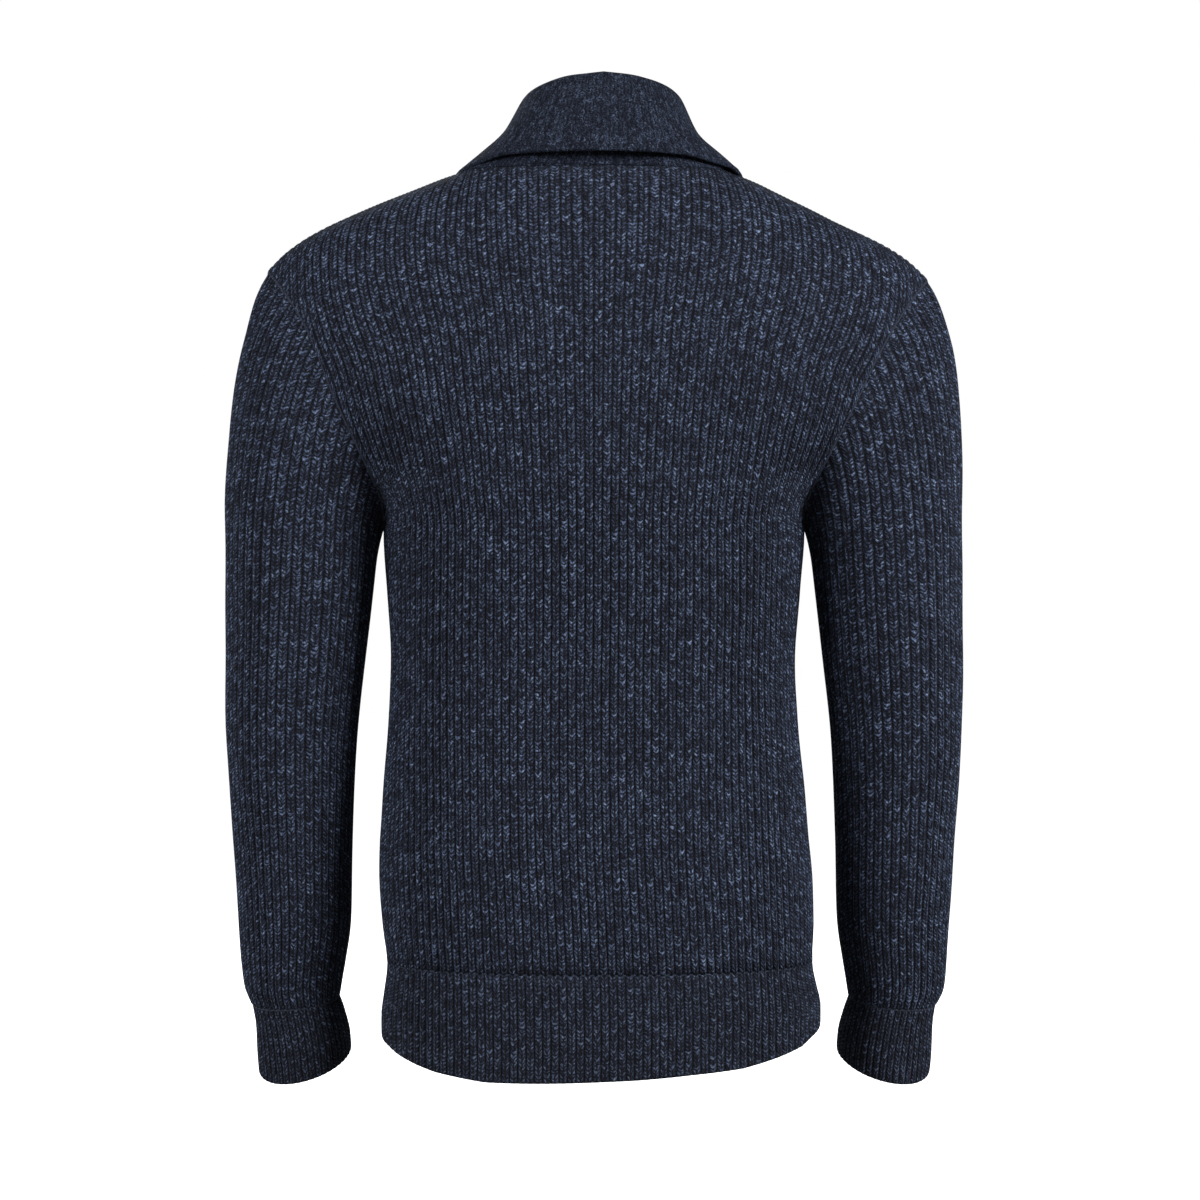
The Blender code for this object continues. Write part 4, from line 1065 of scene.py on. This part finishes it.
def neckStations():
    # Where the collar joins the back, from the centre round to the shoulder seam.
    inNeck = backHalf[-1, :, 0] <= collar["neckHalf"] + 3
    edges = backHalf[-1, inNeck]
    normals = backNormals[:, backHalf.shape[1] - 1::-1][-1, inNeck]
    ups = unit(edges - backHalf[-3, inNeck])
    arcs = arcLengths(edges)
    reach = np.interp(collar["neckHalf"], edges[:, 0], arcs)
    stations = []
    for along in np.linspace(0, 1, collar["neckStations"]):
        edge, normal, up = (readPoint(points, arcs, along * reach)
                            for points in (edges, normals, ups))
        normal = unit(normal)
        corner = max(0.0, 1 - (1 - along) / collar["cornerShare"])
        up = square(up, normal) - np.array([collar["cornerLean"] * corner, 0.0, 0.0])
        keys = [float(readSmooth(collarBack["along"], values, along))
                for name, values in collarBack.items() if name != "along"]
        stations.append((edge, normal, up, np.array(keys).reshape(4, 3)))
    return stations


def chestSpot(rise, across, lift, step=0.0004):
    spots = np.array([upperPoints(-1, level, np.array([across - 0.5, across, across + 0.5]))
                      for level in (rise - 2 * step, rise - step, rise)])
    return spots[1, 1] + gridNormals(spots)[1, 1] * lift


def lapelStations():
    # Where the left lapel joins the front, from the shoulder down to the break.
    tube = body["tubeRows"]
    rises = seamRises(-1, body["upperRows"])
    edges = frontHalf[tube:-2, 0]
    normals = frontNormals[tube:-2, 0]
    inwards = edges - frontHalf[tube:-2, 4]
    heights = edges[:, 2]
    stations = []
    for height in np.linspace(heights[-1], collar["breakPoint"], collar["lapelStations"]):
        rise = min(float(np.interp(height, heights, rises)), collar["top"])
        edge, normal, inward = (readPoint(points, heights, height)
                                for points in (edges, normals, inwards))
        normal = unit(normal)
        roll, outer = lapelAt("roll", height), lapelAt("edge", height)
        up = np.array([0.0, 0.0, lapelAt("lift", height)])
        fallAcross = roll + (outer - roll) * collar["fallPart"]
        stations.append((edge, normal, square(inward, normal), np.array([
            chestSpot(rise, (edge[0] + roll) / 2, collar["standLift"]) + up * collar["standShare"],
            chestSpot(rise, roll, collar["rollLift"]) + up,
            chestSpot(rise, fallAcross, collar["fallLift"]) + up * collar["fallShare"],
            chestSpot(rise, outer, collar["edgeLift"])])))
    return stations


def sectionLine(edge, normal, up, keys):
    # The middle of the collar's wall, from the neck seam over the roll to the fall's edge.
    keys = keys.copy()
    heights = keys[:, 2]
    keys[:, 0] -= (collar["lean"] * eased((heights - collar["leanFrom"]) / collar["leanOver"])
                   + collar["slope"] * np.maximum(heights, 0.0))
    stand, roll, fall, tip = keys
    root = edge + up * cloth["seamGap"] - normal * collar["rootDrop"]
    rise = unit(roll - (stand + fall) / 2)
    out = square(fall - stand, rise)
    bend = [roll + unit(rise * upPart + out * outPart) * collar["rollRadius"]
            for upPart, outPart in ((0, -1), (1, -1), (1, 0), (1, 1), (0, 1))]
    line = smoothLine([root, (root + stand) / 2 + up, stand, *bend, fall, (fall + tip) / 2, tip],
                      400)
    length = arcLengths(line)[-1]
    first, *near = length - np.array(collar["edgeSteps"])
    return alongLine(line, np.append(np.linspace(0, first, collar["sectionPoints"]), near))


def softened(stations, rounds=5):
    # Evens out the places of the stations' keys, so that no table's corner shows.
    keys = np.array([station[3] for station in stations])
    for _ in range(rounds):
        keys[1:-1] = (keys[:-2] + 2 * keys[1:-1] + keys[2:]) / 4
    return [(*station[:3], key) for station, key in zip(stations, keys)]


def collarGrid():
    # Rows run along the section and columns along the collar, from one lapel to the other.
    left = softened(neckStations() + lapelStations()[1:])
    left[0] = (*left[0][:3], left[0][3] * np.array([0.0, 1.0, 1.0]))
    right = [[part * acrossMirror for part in station] for station in left[1:]]
    lines = [sectionLine(*station) for station in left[::-1] + right]
    return np.array(lines).transpose(1, 0, 2)[:, ::-1]


def makeCollar():
    grid = collarGrid()
    rows, columns = grid.shape[:2]
    normals = gridNormals(grid)
    if normals[10, columns // 2, 1] > 0:
        normals = -normals
    thick = np.ones(rows)
    thick[-4:] = collar["edgeRound"]
    thick[0] = 0.8
    half = (collar["wall"] / 2 * thick)[:, None, None]
    arcs = arcLengths(grid[rows // 2])
    fromTip = np.clip((rows - np.arange(rows)) / (rows * 0.5), 0, 1)[:, None]
    ripple = (np.sin(arcs / 23.0) + 0.7 * np.sin(arcs / 11.0 + 1.0))[None, :] * (1 - fromTip)
    middle = grid + normals * (ripple * collar["ripple"])[..., None]
    steps = np.linalg.norm(np.diff(middle, axis=0), axis=-1).mean(axis=1)
    along = np.concatenate([[0.0], np.cumsum(steps)]) / collar["stitchTall"]
    knit = np.stack([np.broadcast_to(arcs / collar["ribPitch"], (rows, columns)),
                     np.broadcast_to(along[:, None], (rows, columns))], axis=-1)
    piece = clothPiece("shawlCollar", middle + normals * half, middle - normals * half, knit,
                       "collar")
    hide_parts("shawl_collar")


makeCollar()
print("shawl collar is made")


# Seams are rows of linking yarn, sunk into the grooves between the pieces. Each has the
# yarn's radius, and "swell" and "pitch" are its bulge at every stitch.
seamYarn = {"armhole": 1.0, "side": 0.8, "shoulder": 0.9, "join": 0.75, "sink": 0.7,
            "joinSink": 0.75, "swell": 0.16, "pitch": 3.1}


def yarnPiece(name, lines, radius, closed=False):
    # Each line is a row of places in millimetres. The yarn is made a mesh at once.
    data = bpy.data.curves.new(name, "CURVE")
    data.dimensions = "3D"
    data.bevel_depth = radius * millimetre
    data.bevel_resolution = 2
    data.use_fill_caps = not closed
    for line in lines:
        line = settled(name, line) * millimetre
        spline = data.splines.new("POLY")
        spline.points.add(len(line) - 1)
        spline.use_cyclic_u = closed
        for point, place in zip(spline.points, line):
            point.co = (*place, 1.0)
    shape = added(name + "Path", data)
    bpy.context.view_layer.update()
    mesh = bpy.data.meshes.new_from_object(shape)
    bpy.data.objects.remove(shape, do_unlink=True)
    bm = bmesh.new()
    bm.from_mesh(mesh)
    bpy.data.meshes.remove(mesh)
    bmesh.ops.remove_doubles(bm, verts=bm.verts[:], dist=1e-7)
    bmesh.ops.recalc_face_normals(bm, faces=bm.faces[:])
    ownMesh(name, bm, "yarn")


def stitched(line, normals, sink):
    bulge = seamYarn["swell"] * np.sin(arcLengths(line) * 2 * math.pi / seamYarn["pitch"])
    return line + normals * (bulge - seamYarn[sink])[:, None]


def seamPair(name, line, thickness, closed=False):
    if closed:
        line = line[:-1]
    yarnPiece(name, [line, line * acrossMirror], seamYarn[thickness], closed)


def makeSeams():
    sleeveNormals = gridNormals(leftSleeve, closed=True)
    seamPair("armholeSeams", stitched(leftSleeve[-1], sleeveNormals[-1], "sink"), "armhole", True)
    side = np.vstack([hemHalf[2:-1, -1], backHalf[:body["tubeRows"] + 1, -1]])
    seamPair("sideSeams", stitched(evenLine(side, 400), np.array([[1.0, 0.0, 0.0]]), "sink"),
             "side")
    keep = frontHalf[-1, :, 0] > collar["neckHalf"] + 8
    shoulderNormals = unit(frontNormals[-1, keep] + np.array([0.0, 0.2, 0.4]))
    seamPair("shoulderSeams", stitched(frontHalf[-1, keep], shoulderNormals, "sink"), "shoulder")
    seamPair("cuffSeams", stitched(leftSleeve[0], sleeveNormals[0], "joinSink"), "join", True)
    yarnPiece("hemSeams", [stitched(grid[0], gridNormals(grid)[0], "joinSink")
                           for grid in (backGrid, frontHalf, mirrored(frontHalf))],
              seamYarn["join"])
    heights = np.linspace(body["hemSide"] - body["hemDroop"] + 2, collar["breakPoint"], 240)
    band = np.array([frontPoint(bands["half"] + cloth["seamGap"] / 2, height)
                     for height in heights])
    seamPair("bandSeams", stitched(band, np.array([[0.0, -1.0, 0.0]]), "joinSink"), "join")


makeSeams()
print("seams are made")


# Buttons, with four holes and the thread through them
button = {
    "radius": 10.0, "thick": 3.6, "dish": 0.9, "gap": 0.32,
    "heights": (-262.0, -348.0, -434.0, -520.0, -606.0),
    "backEdge": [(1.2, 0.0), (0.3, 0.4), (0.0, 1.2)],    # in from the edge, up from the back
    "frontEdge": [(0.15, 0.9), (0.6, 0.2), (1.2, 0.0), (1.8, 0.15), (2.5, 0.7), (3.2, 0.9)],
    "holeOut": 1.9, "hole": 0.85,
    "thread": 0.38, "threadApart": 0.36,
    # Through two holes: the place between them, and the height above the dish
    "threadPath": [(-1, -1.6), (-1, -0.2), (-0.85, 0.3), (0.0, 0.45), (0.85, 0.3), (1, -0.2),
                   (1, -1.6)],
    "slitReach": 11.2, "slitHalf": 0.95, "slitShift": -1.5, "slitYarn": 0.62,
}


def buttonShape():
    # The profile is spun about the button's axis.
    radius, top = button["radius"], button["thick"] / 2
    profile = ([(0.0, -top)] + [(radius - inward, up - top) for inward, up in button["backEdge"]]
               + [(radius - inward, top - down) for inward, down in button["frontEdge"]]
               + [(0.0, top - button["dish"] - 0.1)])
    bm = bmesh.new()
    verts = [bm.verts.new((out, 0.0, up)) for out, up in profile]
    edges = [bm.edges.new(pair) for pair in zip(verts, verts[1:])]
    bmesh.ops.spin(bm, geom=verts + edges, cent=(0, 0, 0), axis=(0, 0, 1),
                   angle=2 * math.pi, steps=64, use_merge=True, use_duplicate=False)
    bmesh.ops.remove_doubles(bm, verts=bm.verts[:], dist=1e-4)
    bmesh.ops.recalc_face_normals(bm, faces=bm.faces[:])
    return bm


def cutHoles(bm):
    drill = bmesh.new()
    for turn in range(4):
        angle = math.pi / 4 + turn * math.pi / 2
        place = Matrix.Translation((button["holeOut"] * math.cos(angle),
                                    button["holeOut"] * math.sin(angle), 0))
        bmesh.ops.create_cone(drill, cap_ends=True, segments=20, radius1=button["hole"],
                              radius2=button["hole"], depth=12.0, matrix=place)
    blank = added("buttonBlank", meshFrom("buttonBlank", bm))
    tool = added("drill", meshFrom("drill", drill))
    cut = blank.modifiers.new("holes", "BOOLEAN")
    cut.operation = "DIFFERENCE"
    cut.object = tool
    cut.solver = "EXACT"
    bpy.context.view_layer.update()
    drilled = bpy.data.meshes.new_from_object(
        blank.evaluated_get(bpy.context.evaluated_depsgraph_get()))
    for thing in (blank, tool):
        bpy.data.objects.remove(thing, do_unlink=True)
    return drilled


def buttonThreads(turn, seat):
    out = button["holeOut"] * math.cos(math.pi / 4)
    face = button["thick"] / 2 - button["dish"]
    return [[np.array(turn @ Vector((side * out + shift, part * out, face + rise))) + seat
             for part, rise in button["threadPath"]]
            for side in (-1, 1) for shift in (-button["threadApart"], button["threadApart"])]


def buttonholeLine(middle, upward):
    line = []
    for angle in np.linspace(0, 2 * math.pi, 40, endpoint=False):
        across, up = math.cos(angle), math.sin(angle)
        across = button["slitReach"] * math.copysign(abs(across) ** 0.7, across)
        line.append(middle + np.array([across + button["slitShift"], 0.0, 0.0])
                    + upward * button["slitHalf"] * up)
    return line


def makeButtons():
    drilled = cutHoles(buttonShape())
    middle = np.array([[np.interp(0.0, row[:, 0], row[:, axis]) for axis in range(3)]
                       for row in overBand])
    radius, half = button["radius"], button["thick"] / 2
    for number, height in enumerate(button["heights"], start=1):
        low, seat, high = [np.array([0.0, np.interp(level, middle[:, 2], middle[:, 1]), level])
                           for level in (height - radius, height, height + radius)]
        normal = unit(np.cross(np.array([1.0, 0.0, 0.0]), high - low))
        front = seat + normal * (bands["overLift"] + bands["wall"])
        seat = front + normal * (button["gap"] + half)
        turn = Vector((0, 0, 1)).rotation_difference(Vector(normal)).to_matrix()
        place = Matrix.Translation(Vector(settled("button", seat) * millimetre)) @ turn.to_4x4()
        bm = bmesh.new()
        bm.from_mesh(drilled)
        bmesh.ops.scale(bm, vec=(millimetre,) * 3, verts=bm.verts[:])
        bmesh.ops.transform(bm, matrix=place, verts=bm.verts[:])
        piece = ownMesh(f"button{number}", bm, "button")
        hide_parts(f"button_{number}")
        yarnPiece(f"buttonThread{number}", buttonThreads(turn, seat), button["thread"])
        yarnPiece(f"buttonhole{number}", [buttonholeLine(front - normal * 0.1, unit(high - low))],
                  button["slitYarn"], closed=True)


makeButtons()
print("buttons are made")
